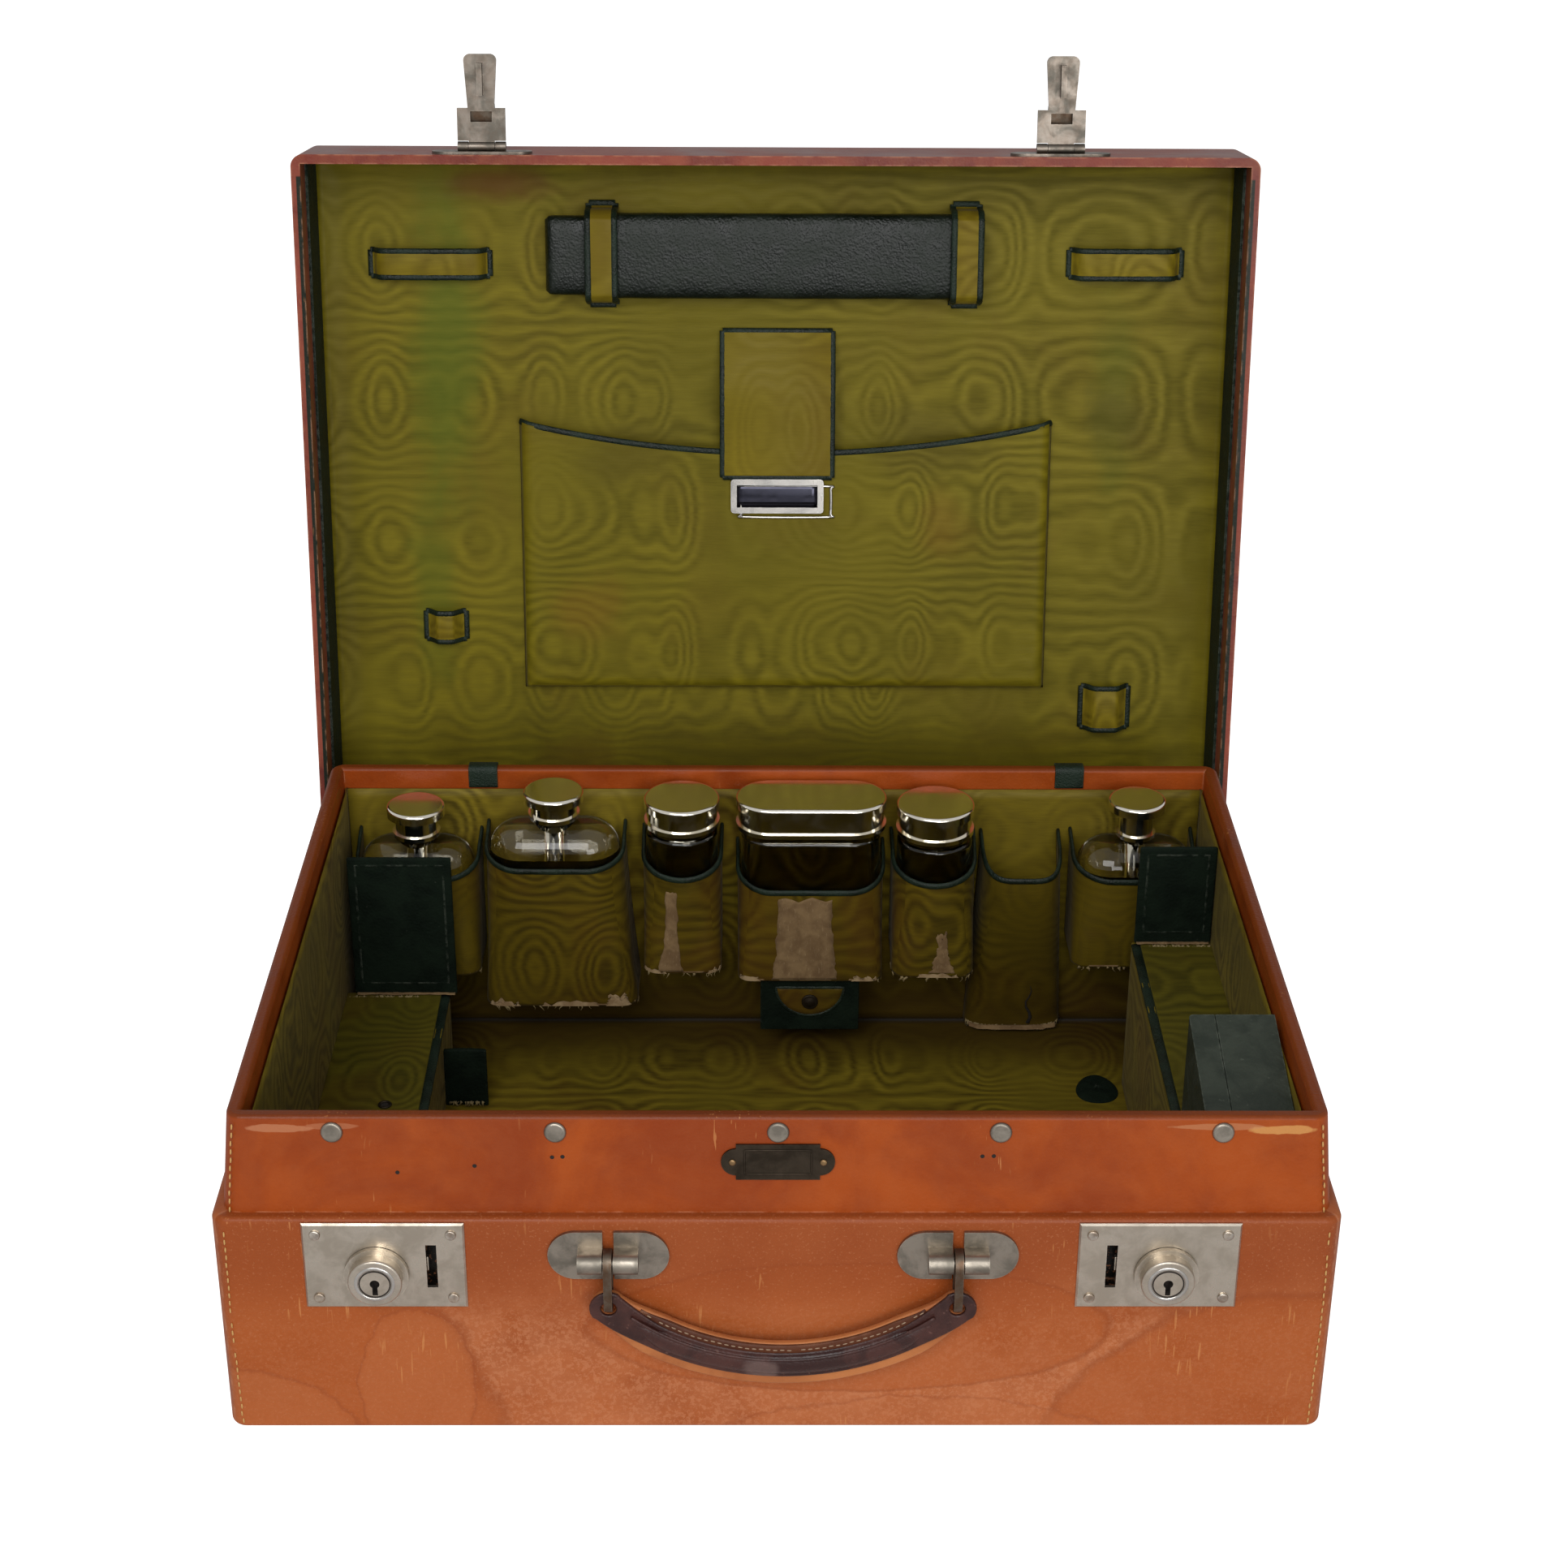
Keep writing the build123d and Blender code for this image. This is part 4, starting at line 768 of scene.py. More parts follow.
def clear_glass():
    """Old clear glass, faintly grey, with a dusty bloom."""
    material, shader, where = new_material(
        "Bottle glass", IOR=1.47, Transmission_Weight=1.0, Metallic=0.0)
    bloom = blotches(where, 60.0)
    connect(shader, mix(bloom, (0.66, 0.62, 0.50), (0.78, 0.75, 0.64)), line_of(bloom, -0.03, 0.04))
    return material


def torn_card(name, deep, pale):
    """Bare card where the silk has worn through."""
    material, shader, where = new_material(name, Roughness=0.9)
    fibres = noise_map(stretch(where, (1, 1, 0.3)), 900.0, 4.0, 0.7)
    colour = mix(blotches(where, 120.0), deep, pale)
    colour = mix(fade(fibres, 0.55, 0.7, 0.0, 0.5), colour, (0.36, 0.26, 0.14))
    connect(shader, colour, None, fibres, 0.15 * mm)
    return material


def thread(name, pale, deep):
    """Waxed thread."""
    material, shader, where = new_material(name, Roughness=0.7)
    strands = noise_map(where, 1800.0, 2.0)
    connect(shader, mix(strands, deep, pale), None, strands, 0.08 * mm)
    return material


def dark_hollow():
    """Near-black inside of small holes."""
    material, shader, where = new_material("Hole shadow", Roughness=0.9)
    connect(shader, mix(noise_map(where, 800.0), (0.006, 0.004, 0.003), (0.02, 0.012, 0.008)))
    return material


collar_hide = case_hide(
    "Collar hide", (0.36, 0.064, 0.006), (0.25, 0.038, 0.004), collar_marks, 0.4, 0.08, 0.04)
board_hide = case_hide("Board hide", (0.43, 0.120, 0.036), (0.31, 0.066, 0.016))
lid_hide = case_hide(
    "Lid hide", (0.26, 0.055, 0.036), (0.15, 0.026, 0.018), lid_rim_marks, 0.4, 0.2)
front_board_hide = case_hide(
    "Front hide", (0.43, 0.118, 0.034), (0.31, 0.068, 0.014), front_marks, 0.45, 0.5)
strap_tan = case_hide(
    "Strap tan", (0.47, 0.17, 0.055), (0.30, 0.085, 0.026), None, 0.4, 0.3)
strap_brown = case_hide(
    "Strap brown", (0.085, 0.024, 0.009), (0.05, 0.013, 0.006), None, 0.2, 0.1, 0.03)
lid_moire = moire_silk(
    "Lid moire", (0.198, 0.158, 0.008), (0.108, 0.087, 0.003), 0.16, marks=lid_stains_and_shade)
# Paler light tone than the lid's silk: painted light on the tray floor.
tray_moire = moire_silk(
    "Tray moire", (0.245, 0.180, 0.015), (0.080, 0.056, 0.005), 0.35, low_dirt_and_shade=back_shade_under_pockets)
# Darker than the lid's silk: partly dirt, partly painted shade inside the tray.
pocket_moire = moire_silk(
    "Pocket moire", (0.140, 0.096, 0.007), (0.054, 0.036, 0.003), 0.5, low_dirt_and_shade=pocket_dirt)
strap_moire = moire_silk("Strap moire", (0.225, 0.168, 0.010), (0.130, 0.095, 0.005), 0.25)
shelf_moire = moire_silk("Shelf moire", (0.135, 0.112, 0.010), (0.062, 0.052, 0.005), 0.3, 0.3)
binding_leather = green_leather(
    "Binding leather", (0.003, 0.0075, 0.004), (0.010, 0.021, 0.012), 1400.0, 0.12, 0.45, 0.3)
flap_leather = green_leather(
    "Flap leather", (0.0022, 0.0055, 0.0028), (0.006, 0.012, 0.0065), 900.0, 0.16, 0.75, 0.12)
case_morocco = green_leather(
    "Case morocco", (0.0025, 0.005, 0.0027), (0.008, 0.0125, 0.0075), 900.0, 0.08, 0.36, 0.32)
box_morocco = green_leather(
    "Box morocco", (0.017, 0.024, 0.016), (0.039, 0.048, 0.035), 520.0, 0.25, 0.5, 0.3)
facing_leather = green_leather(
    "Facing leather", (0.004, 0.008, 0.0035), (0.011, 0.019, 0.010), 900.0, 0.12, 0.6, 0.2)
grip_leather = brown_leather()
nickel = metal("Worn nickel", (0.56, 0.50, 0.42), (0.27, 0.23, 0.18), 0.24, 0.42)
hasp_nickel = metal("Hasp nickel", (0.22, 0.19, 0.16), (0.095, 0.09, 0.075), 0.34, 0.5, 0.8, 0.2)
handle_nickel = metal("Handle nickel", (0.34, 0.30, 0.25), (0.15, 0.135, 0.11), 0.3, 0.46, 0.8)
screw_steel = metal("Screw steel", (0.62, 0.57, 0.50), (0.30, 0.20, 0.11), 0.2, 0.4, 0.6, 0.5)
bright_nickel = metal("Bright nickel", (0.55, 0.53, 0.50), (0.30, 0.27, 0.23), 0.12, 0.25, 0.35)
dark_mirror = metal("Dark mirror", (0.045, 0.045, 0.06), (0.02, 0.02, 0.03), 0.08, 0.2, 0.3)
steel = metal("Rusty steel", (0.16, 0.13, 0.10), (0.07, 0.05, 0.035), 0.35, 0.55, 0.6, 0.6)
brass = metal("Dull brass", (0.34, 0.22, 0.11), (0.16, 0.09, 0.04), 0.3, 0.45, 0.6, 0.2)
bronze = metal("Dark bronze", (0.055, 0.042, 0.03), (0.022, 0.017, 0.012), 0.42, 0.6, 0.7)
silver = metal("Polished silver", (0.90, 0.86, 0.76), (0.70, 0.63, 0.50), 0.08, 0.18, 0.3)
glass = clear_glass()
card = torn_card("Torn card", (0.15, 0.085, 0.034), (0.24, 0.15, 0.066))
pale_card = torn_card("Pale card", (0.24, 0.15, 0.07), (0.40, 0.28, 0.15))
seam_thread = thread("Seam thread", (0.72, 0.45, 0.16), (0.42, 0.20, 0.05))
frayed_silk = thread("Frayed silk", (0.36, 0.27, 0.13), (0.13, 0.09, 0.03))
pale_thread = thread("Pale thread", (0.42, 0.30, 0.20), (0.20, 0.12, 0.07))
hollow = dark_hollow()

bottle_names = ("left_flask", "wide_flask", "small_jar", "oval_jar", "large_jar", "right_flask")
node_finishes = (
    (board_hide, ("base_floor", "base_right_wall", "base_back_wall", "base_left_wall")),
    (front_board_hide, ("base_front_wall",)),
    (collar_hide, ("collar_frame",)),
    (lid_hide, ("lid_walls", "lid_top_board")),
    (facing_leather, ("lid_end_facings",)),
    (handle_nickel, ("front_studs", "handle_plates")),
    (bronze, ("nameplate",)),
    (screw_steel, ("lock_screws",)),
    (bright_nickel, ("strap_buckle",)),
    (nickel, ("left_lock_plate", "right_lock_plate", "left_lock_knob", "right_lock_knob")),
    (steel, ("handle_rings", "body_hinge_leaves", "lid_hinge_leaves")),
    (hasp_nickel, ("hasp_plates", "left_hasp", "right_hasp")),
    (box_morocco, ("leather_box", "leather_box_cover")),
    (glass, bottle_names),
    (silver, [name + "_cap" for name in bottle_names]),
)
for material, names in node_finishes:
    for name in names:
        mesh = nodes[name].data
        mesh.materials.clear()
        mesh.materials.append(material)


# --- Stitching, bindings and frays ---------------------------------------------------------
def one_stitch(centre, direction, out, length, radius):
    """A plump stitch lying on the surface."""
    shares = (0, 0.12, 0.5, 0.88, 1)
    sizes = (0.25, 0.8, 1.0, 0.8, 0.25)
    line = [centre + direction * length * (share - 0.5) for share in shares]
    section = round_section(radius, radius, 6)
    return sweep(line, section, out, swell=lambda t: sizes[round(t * 4)])


def stitch_row(name, path, out, body, seed, pitch=3.8 * mm, length=2.5 * mm, radius=0.4 * mm,
               material=seam_thread):
    """A row of stitches along a path, a few of them lost."""
    draw = random.Random(seed)
    skipped = 0.06
    parts = []
    carried = 0.0
    for start, end in zip(path, path[1:]):
        span = (end - start).length
        direction = (end - start) / span
        while carried < span:
            aside = direction.cross(out) * draw.uniform(-0.2, 0.2) * mm
            centre = start + direction * carried + aside
            if draw.random() > skipped:
                parts.append(one_stitch(centre, direction, out, length, radius))
            carried += pitch
        carried -= span
    piece(name, join(*parts), material, body)


def binding(name, points, out, body, side=1.5 * mm, proud=1.1 * mm, closed=False, seed=3.0):
    """A rolled leather edging along a path, slightly uneven."""
    path = [point + out_at(out, i) * 0.12 * mm * rough(point, 9 * mm, seed)
            for i, point in enumerate(points)]
    shape = sweep(path, round_section(side, proud, 10), out, closed,
                  lambda t: 1 + 0.08 * rough((t * 60, seed, 0), 1.0))
    piece(name, shape, binding_leather, body, "green_leather")


def fray(name, path, down, reach, count, seed, spare=(0.0, 0.0)):
    """Loose threads and torn bits along an edge of the case, but none between two x values."""
    draw = random.Random(seed)
    parts = []
    for _ in range(count):
        spot = draw.uniform(0, len(path) - 1.001)
        start = path[int(spot)].lerp(path[int(spot) + 1], spot % 1)
        tangent = (path[int(spot) + 1] - path[int(spot)]).normalized()
        length = reach * draw.uniform(0.3, 1.0)
        lean = tangent * length * draw.uniform(-0.8, 0.8)
        tip = start + down * length + lean
        bow = start.lerp(tip, 0.5) + tangent * length * draw.uniform(-0.3, 0.3)
        radius = draw.choice((0.14, 0.22, 0.5)) * mm
        section = round_section(radius * 1.8, radius * 0.6, 4)
        facing = down.cross(tangent)
        if spare[0] < start.x < spare[1]:
            continue
        parts.append(sweep([start, bow, tip], section, facing, swell=lambda t: 1 - 0.6 * t))
    piece(name, join(*parts), frayed_silk, "case")


# --- Lid -----------------------------------------------------------------------------------
towards_viewer = -into_lid
panel_depth = lid_span("long_case")[1].z + seat_gap
cove_height = 3.2 * mm
cove_width = 12 * mm
silk_thickness = 0.8 * mm


def lid_lining():
    """Silk over the padded panel, its coved border and the two long walls."""
    low, high = lid_span("lid_silk")
    left, right = low.x, high.x
    near, far = low.y + silk_thickness, high.y - silk_thickness
    rim = low.z + seat_gap
    wall_rows, panel_rows = 8, 120
    rows = 2 * wall_rows + panel_rows

    def depth_at(x, s):
        edge = min(x - left, right - x, s - near, far - s)
        lift = cove_height * (1 - math.sin(min(edge / cove_width, 1) * math.pi / 2))
        pucker = 0.35 * mm * math.exp(-edge / (16 * mm)) * rough((x, s * 0.15, 0), 5 * mm)
        billow = 0.5 * mm * (0.7 + 0.6 * rough((x, s, 0), 60 * mm, 2.0))
        fine = 0.12 * mm * rough((x * 1.6, s * 0.25, 0), 14 * mm, 5.0)
        return panel_depth - lift + max(billow + fine + pucker, 0.02 * mm) * ease(edge / (4 * mm))

    def place(u, v):
        x = left + (right - left) * u
        row = v * rows
        if row < wall_rows:
            corner = depth_at(x, near)
            return lid_point(x, near, rim + (corner - rim) * row / wall_rows)
        if row > wall_rows + panel_rows:
            share = (rows - row) / wall_rows
            return lid_point(x, far, rim + (depth_at(x, far) - rim) * share)
        s = near + (far - near) * (row - wall_rows) / panel_rows
        return lid_point(x, s, depth_at(x, s))

    thing = piece("lid_lining", grid(150, rows, place), lid_moire, "lid", "moire_silk", cloth=0.3)
    thicken(thing, 0.6 * mm)
    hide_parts("lid_silk")


def pouch():
    """Flat silk pouch on a gusset, with a bound mouth that dips in the middle."""
    low, high = lid_span("document_pouch")
    left, right, foot, mouth = low.x, high.x, low.y, high.y
    face, rounding, dip = low.z, 7 * mm, 15.5 * mm
    middle, half = (left + right) / 2, (right - left) / 2
    rise = panel_depth - face - 0.1 * mm

    def mouth_at(x):
        return mouth - dip * (1 - ((x - middle) / half) ** 2)

    def place(u, v):
        x = left + (right - left) * u
        s = foot + (mouth_at(x) - foot) * v
        edge = min(x - left, right - x, s - foot)
        t = min(edge / rounding, 1)
        swell = math.sqrt(max(1 - (1 - t) ** 2, 0))
        dent = 0.6 * mm * (0.5 + 0.5 * rough((x, s, 0), 45 * mm, 8.0)) * t
        pucker = 0.5 * mm * rough((x, s, 0), 6 * mm, 4.0) * math.exp(-edge / (12 * mm)) * t
        wave = (rise - dent - abs(pucker)) * swell
        return lid_point(x, s, panel_depth - 0.1 * mm - wave)

    body = piece("pouch_face", grid(150, 90, place), lid_moire, "lid", "moire_silk", cloth=2.6)
    thicken(body, 0.9 * mm)
    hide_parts("document_pouch")
    inset = 0.6 * mm
    line = []
    for k in range(61):
        x = left + inset + (right - left - 2 * inset) * k / 60
        sink = 6 * mm * math.exp(-min(x - left, right - x) / (2.5 * mm))
        line.append(lid_point(x, mouth_at(x), face + 0.7 * mm + sink))
    binding("pouch_binding", line, towards_viewer, "lid", 1.6 * mm, 0.9 * mm)


def ribbon(name, path, half_width, out, body, seed, edging, thickness=1.0 * mm, replaces=None):
    """A silk strap along a path, bound in green leather along both edges and at its ends."""
    silk = piece(name, sweep(path, flat_section(half_width, thickness / 2), out), strap_moire,
                 body, "moire_silk", cloth=seed)
    tangents = [(b - a).normalized() for a, b in zip(path, path[1:])]
    tangents.append(tangents[-1])
    across = [tangent.cross(out_at(out, i)).normalized() for i, tangent in enumerate(tangents)]
    section = round_section(edging, edging * 0.62, 8)
    reach = half_width - edging * 0.6
    parts = []
    for hand in (-1, 1):
        edge = [point + side * hand * reach for point, side in zip(path, across)]
        parts.append(sweep(edge, section, out, False,
                           lambda t: 1 + 0.1 * rough((t * 30, seed, 0), 1.0)))
    for index in (0, len(path) - 1):
        bar = [path[index] + across[index] * reach * k / 4 for k in range(-4, 5)]
        parts.append(sweep(bar, section, out_at(out, index)))
    piece(name + "_binding", join(*parts), binding_leather, body, "green_leather")
    if replaces:
        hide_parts(replaces)


def outward(path, across):
    """Facing directions that stay square to a path bent about one axis."""
    def at(index):
        before = path[max(index - 1, 0)]
        after = path[min(index + 1, len(path) - 1)]
        return (after - before).normalized().cross(across).normalized()
    return at


def lid_straps():
    """Two bound straps that hold the long case against the panel."""
    low, high = lid_span("case_straps")
    thick, width = 1.4 * mm, 15 * mm
    case_low, case_high = lid_span("long_case")
    over = low.z + thick / 2
    near, far = case_low.y - 1.3 * mm, case_high.y + 1.3 * mm
    outline = [
        (low.y + 0.8 * mm, panel_depth - 0.9 * mm), (near - 1.2 * mm, panel_depth - 1.2 * mm),
        (near, panel_depth - 4 * mm), (near, over + 6 * mm), (near + 3 * mm, over + 0.9 * mm),
        (near + 8 * mm, over), (far - 8 * mm, over), (far - 3 * mm, over + 0.9 * mm),
        (far, over + 6 * mm), (far, panel_depth - 4 * mm), (far + 1.2 * mm, panel_depth - 1.2 * mm),
        (high.y - 0.8 * mm, panel_depth - 0.9 * mm),
    ]
    for side, x in (("left", low.x + width / 2), ("right", high.x - width / 2)):
        path = smooth_path([lid_point(x, s, d) for s, d in outline], 4)
        ribbon(f"{side}_case_strap", path, width / 2, outward(path, -along_x), "lid", 4.0 + x * 9,
               1.7 * mm, replaces="case_straps" if side == "left" else None)


def loops():
    """Four raised loops for small tools, bound along their edges."""
    places = (
        ("upper_left_loop", -171.8, 282.8, 60.0, 14.5),
        ("upper_right_loop", 174.4, 283.6, 57.0, 15.0),
        ("lower_left_loop", -169.6, 97.2, 21.5, 16.5),
        ("lower_right_loop", 172.7, 54.0, 25.5, 24.0),
    )
    crest = lid_span("tool_loops")[0].z + 0.6 * mm
    for name, x, s, width, length in places:
        x, s, half = x * mm, s * mm, width * mm / 2
        foot, shoulder = half - 2.6 * mm, half - 6.5 * mm
        outline = [(-half + 0.5 * mm, panel_depth - 0.7 * mm), (-foot, panel_depth - 1.4 * mm),
                   (-shoulder, crest + 0.9 * mm), (-shoulder * 0.5, crest + 0.2 * mm), (0, crest),
                   (shoulder * 0.5, crest + 0.2 * mm), (shoulder, crest + 0.9 * mm),
                   (foot, panel_depth - 1.4 * mm), (half - 0.5 * mm, panel_depth - 0.7 * mm)]
        path = smooth_path([lid_point(x + a, s, d) for a, d in outline], 4)
        ribbon(name, path, length * mm / 2, outward(path, -along_lid), "lid", 1.0 + x * 20,
               1.5 * mm, replaces="tool_loops" if name == "upper_left_loop" else None)


def centre_strap():
    """The strap over the pouch's mouth, with its polished plate and loose second frame."""
    low, high = lid_span("pouch_strap")
    x, half = (low.x + high.x) / 2, (high.x - low.x) / 2
    back = low.z + 1.0 * mm
    root = high.y - 1.4 * mm
    outline = [(root, high.z - 1.2 * mm), (root - 8 * mm, high.z - 3.6 * mm),
               (root - 20 * mm, back + 2.0 * mm), (root - 31 * mm, back),
               (root - 50 * mm, back), (low.y + 0.8 * mm, back)]
    path = smooth_path([lid_point(x, s, d) for s, d in outline], 8)
    ribbon("centre_strap", path, half, outward(path, along_x), "pouch_strap", 0.9, 1.5 * mm,
           1.4 * mm, "pouch_strap")
    low, high = lid_span("strap_buckle")
    bar, depth = 2.4 * mm, high.z - 0.5 * mm

    def mirror(u, v):
        return lid_point(low.x + bar + (high.x - low.x - 2 * bar) * u,
                         low.y + bar + (high.y - low.y - 2 * bar) * v,
                         depth - 0.5 * mm * math.sin(math.pi * v))

    thicken(piece("buckle_plate", grid(12, 4, mirror), dark_mirror, "pouch_strap", "nickel"),
            0.4 * mm)
    shift_x, shift_s, thin, corner = 4.5 * mm, -3.2 * mm, 0.8 * mm, 1.6 * mm
    left, right = low.x + shift_x + thin, high.x + shift_x - thin
    bottom, top = low.y + shift_s + thin, high.y + shift_s - thin
    ring = [(left + corner, bottom), (right - corner, bottom), (right, bottom + corner),
            (right, top - corner), (right - corner, top), (left + corner, top),
            (left, top - corner), (left, bottom + corner)]
    path = smooth_path([lid_point(a, s, high.z + 0.1 * mm) for a, s in ring], 4, closed=True)
    piece("buckle_keeper", sweep(path, round_section(thin, thin), towards_viewer, True),
          bright_nickel, "pouch_strap", "nickel")


def long_case():
    """Soft long case of glazed green leather, with a tuck-in end."""
    low, high = lid_span("long_case")
    middle_s, middle_d = (low.y + high.y) / 2, (low.z + high.z) / 2
    half_s, half_d = (high.y - low.y) / 2, (high.z - low.z) / 2
    flap_end = low.x + 26 * mm
    count, steps, squareness = 44, 110, 0.55

    def place(u, v):
        turn = 2 * math.pi * u
        x = low.x + (high.x - low.x) * v
        end = min(x - low.x, high.x - x)
        close = math.sqrt(max(1 - (1 - min(end / (3.5 * mm), 1)) ** 2, 0.0))
        across = bulged(math.cos(turn), squareness)
        thick = bulged(math.sin(turn), squareness)
        flat, tall = (0.80, 0.93) if x < flap_end else (1.0, 1.0)
        dent = 0.9 * mm * (0.5 + 0.5 * rough((x, turn * 6 * mm, 0), 22 * mm, 3.0))
        from_sag = x - low.x - 0.55 * (high.x - low.x)
        sag = 1.2 * mm * math.exp(-(from_sag / (60 * mm)) ** 2) if thick < 0 else 0
        s = middle_s + across * (half_s * tall - dent * 0.4) * (0.9 + 0.1 * close)
        rise = thick * (half_d * flat - dent - sag) * max(close, 0.02)
        return lid_point(x, s, middle_d + half_d * (1 - flat) + rise)

    points, faces = grid(count, steps, place, closed=True)
    faces.append(tuple(reversed(range(count))))
    faces.append(tuple(range(steps * count, (steps + 1) * count)))
    thing = piece("long_case_cover", (points, faces), case_morocco, "long_case", "green_leather")
    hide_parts("long_case")
    lip = []
    for k in range(25):
        turn = math.pi * k / 24
        crest = half_d * abs(math.sin(turn)) ** 0.5 * 0.97
        lip.append(lid_point(flap_end, middle_s + half_s * math.cos(turn) * 0.94,
                             middle_d - crest + 0.3 * mm))
    binding("long_case_lip", lip, towards_viewer, "long_case", 0.9 * mm, 0.6 * mm)


def lid_piping():
    """Thin piping along the lid's end facings."""
    low, high = lid_span("lid_end_facings")
    for side, x in (("left", low.x + 0.9 * mm), ("right", high.x - 0.9 * mm)):
        line = [lid_point(x, low.y + (high.y - low.y) * k / 20, low.z + 0.4 * mm)
                for k in range(21)]
        binding(f"lid_{side}_facing_edge", line, towards_viewer, "lid", 0.5 * mm, 0.5 * mm)


lid_lining()
pouch()
lid_straps()
loops()
centre_strap()
long_case()
lid_piping()


# --- Tray ----------------------------------------------------------------------------------
lining_low, lining_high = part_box("base_lining")
lining_wall = 1.5 * mm
tray_floor = lining_low.z + lining_wall
tray_side = lining_high.x - lining_wall
tray_back = lining_high.y - lining_wall
tray_rim = lining_high.z
pocket_steps = 72
foot_roundness = 0.42


def tray_lining():
    """Silk pasted over the floor and up the four walls of the tray."""
    tuck = 1.1 * mm
    depth = tray_rim - tray_floor + tuck

    def billow(spot):
        return 0.5 * mm * (0.5 + 0.5 * rough(spot, 40 * mm, 6.0))

    def floor_at(u, v):
        x = (tray_side + tuck) * (2 * u - 1)
        y = (tray_back + tuck) * (2 * v - 1)
        return Vector((x, y, tray_floor - billow((x, y, 0)) + 0.1 * mm))

    def wall(hand, long):
        def place(u, v):
            z = tray_floor - tuck + depth * v
            span = 2 * u - 1
            if long:
                x = -hand * (tray_side + tuck) * span
                return Vector((x, hand * (tray_back + billow((x, 0, z))), z))
            y = hand * (tray_back + tuck) * span
            return Vector((hand * (tray_side + billow((0, y, z))), y, z))
        return place

    shapes = [grid(60, 44, floor_at)]
    shapes += [grid(60, 24, wall(hand, True)) for hand in (-1, 1)]
    shapes += [grid(44, 24, wall(hand, False)) for hand in (-1, 1)]
    thing = piece("tray_lining", join(*shapes), tray_moire, "case", "moire_silk", cloth=1.4)
    thicken(thing, 0.5 * mm)
    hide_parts("base_lining")


def pocket_plan(node, roundness=1.0):
    """Outline of a pocket from above, from the wall round its front and back to the wall."""
    low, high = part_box(node)
    x, half = (low.x + high.x) / 2, (high.x - low.x) / 2
    reach = min(half, (high.y - low.y) / 2) * roundness
    front, flat = low.y + reach, half - reach
    corners = []
    for k in range(25):
        turn = math.pi * k / 24
        side = -1 if k < 12 else 1 if k > 12 else 0
        corners.append(Vector((x + side * flat - reach * math.cos(turn),
                               front - reach * math.sin(turn), 0)))
    quarters = (0, 0.25, 0.5, 0.75, 1.0)
    there = [Vector((x - half, high.y + (front - high.y) * t, 0)) for t in quarters[:-1]]
    back = [Vector((x + half, front + (high.y - front) * t, 0)) for t in quarters[1:]]
    return there + corners + back


def along(points, share):
    """Point at a share of a path's points, between them where needed."""
    spot = min(max(share, 0.0), 1.0) * (len(points) - 1)
    index = min(int(spot), len(points) - 2)
    return points[index].lerp(points[index + 1], spot - index)


def even(points, count):
    """The same path with evenly spaced points."""
    lengths = [0.0]
    for a, b in zip(points, points[1:]):
        lengths.append(lengths[-1] + (b - a).length)
    result = []
    k = 0
    for i in range(count + 1):
        want = lengths[-1] * i / count
        while k < len(points) - 2 and lengths[k + 1] < want:
            k += 1
        span = lengths[k + 1] - lengths[k] or 1
        result.append(points[k].lerp(points[k + 1], (want - lengths[k]) / span))
    return result


def pocket_surface(node, front_height, side_height, flare, seed):
    """The outside of a pocket: place(u, v) with u round it and v from its foot to its mouth."""
    low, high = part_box(node)
    mouth_plan = even(pocket_plan(node), pocket_steps)
    foot_plan = even(pocket_plan(node, foot_roundness), pocket_steps)
    depth = high.y - low.y
    half = (high.x - low.x) / 2
    centre = Vector(((low.x + high.x) / 2, high.y, 0))

    def mouth_at(point):
        share = (high.y - point.y) / depth
        return side_height + (front_height - side_height) * share

    def place(u, v, lift=0.0):
        point = along(foot_plan, u).lerp(along(mouth_plan, u), ease(v * 1.15))
        z = low.z + (mouth_at(point) - low.z) * v
        inward = (centre - point).normalized()
        front = ease((high.y - point.y) / depth * 2)
        slack = 0.5 * mm * (0.5 + 0.5 * rough((point.x, z, point.y), 16 * mm, seed)) * front
        offset = inward * (slack + 0.1 * mm - lift)
        offset.x += flare * (1 - v) ** 1.5 * max((point.x - centre.x) / half, -0.3)
        return Vector((point.x + offset.x, min(point.y + offset.y, high.y), z))

    return place


# Heights of each pocket's mouth in mm, in front and at the sides; then what is torn, as shares of
# the way round and up: tears (start, end, foot, top, raggedness, seed, widening) and worn feet.
bottle_mouths = {
    "left_flask": (108.0, 118.0), "wide_flask": (113.0, 122.0), "small_jar": (109.0, 120.0),
    "oval_jar": (100.0, 112.0), "large_jar": (107.0, 118.0), "right_flask": (107.5, 118.0),
}
tears = {
    "small_jar": (0.42, 0.475, 0.02, 0.86, 0.012, 31, 0.03),
    "oval_jar": (0.375, 0.582, 0.02, 0.93, 0.014, 33, 0.015),
    "large_jar": (0.515, 0.56, 0.05, 0.48, 0.016, 35, 0.035),
}
worn_feet = {
    "wide_flask": ((0.27, 0.10, 0.035), (0.46, 0.16, 0.03), (0.66, 0.06, 0.08)),
    "oval_jar": ((0.24, 0.07, 0.05), (0.66, 0.08, 0.045)),
    "small_jar": ((0.30, 0.12, 0.03), (0.62, 0.08, 0.03)),
    "large_jar": ((0.44, 0.16, 0.035),),
}


def patch_on(name, place, material, u0, u1, v0, v1, ragged, seed, widen):
    """A torn patch lying on a pocket, with ragged edges, wider at its foot."""
    def torn_edge(v, slow, fast):
        return ragged * (rough((v * 5, seed, slow), 1.0) + 0.5 * rough((v * 17, seed, fast), 1.0))

    def at(u, v):
        spread = widen * (1 - v) ** 3
        start = u0 - spread + torn_edge(v, 0, 4)
        end = u1 + spread + torn_edge(v, 9, 7)
        torn = 0.05 * rough((u * 4, seed, 2), 1.0)
        height = v0 + (v1 - v0) * v + torn * v
        return place(start + (end - start) * u, min(max(height, 0.0), 1.0), 0.35 * mm)

    thicken(piece(name, grid(8, 30, at), material, "case"), 0.2 * mm)


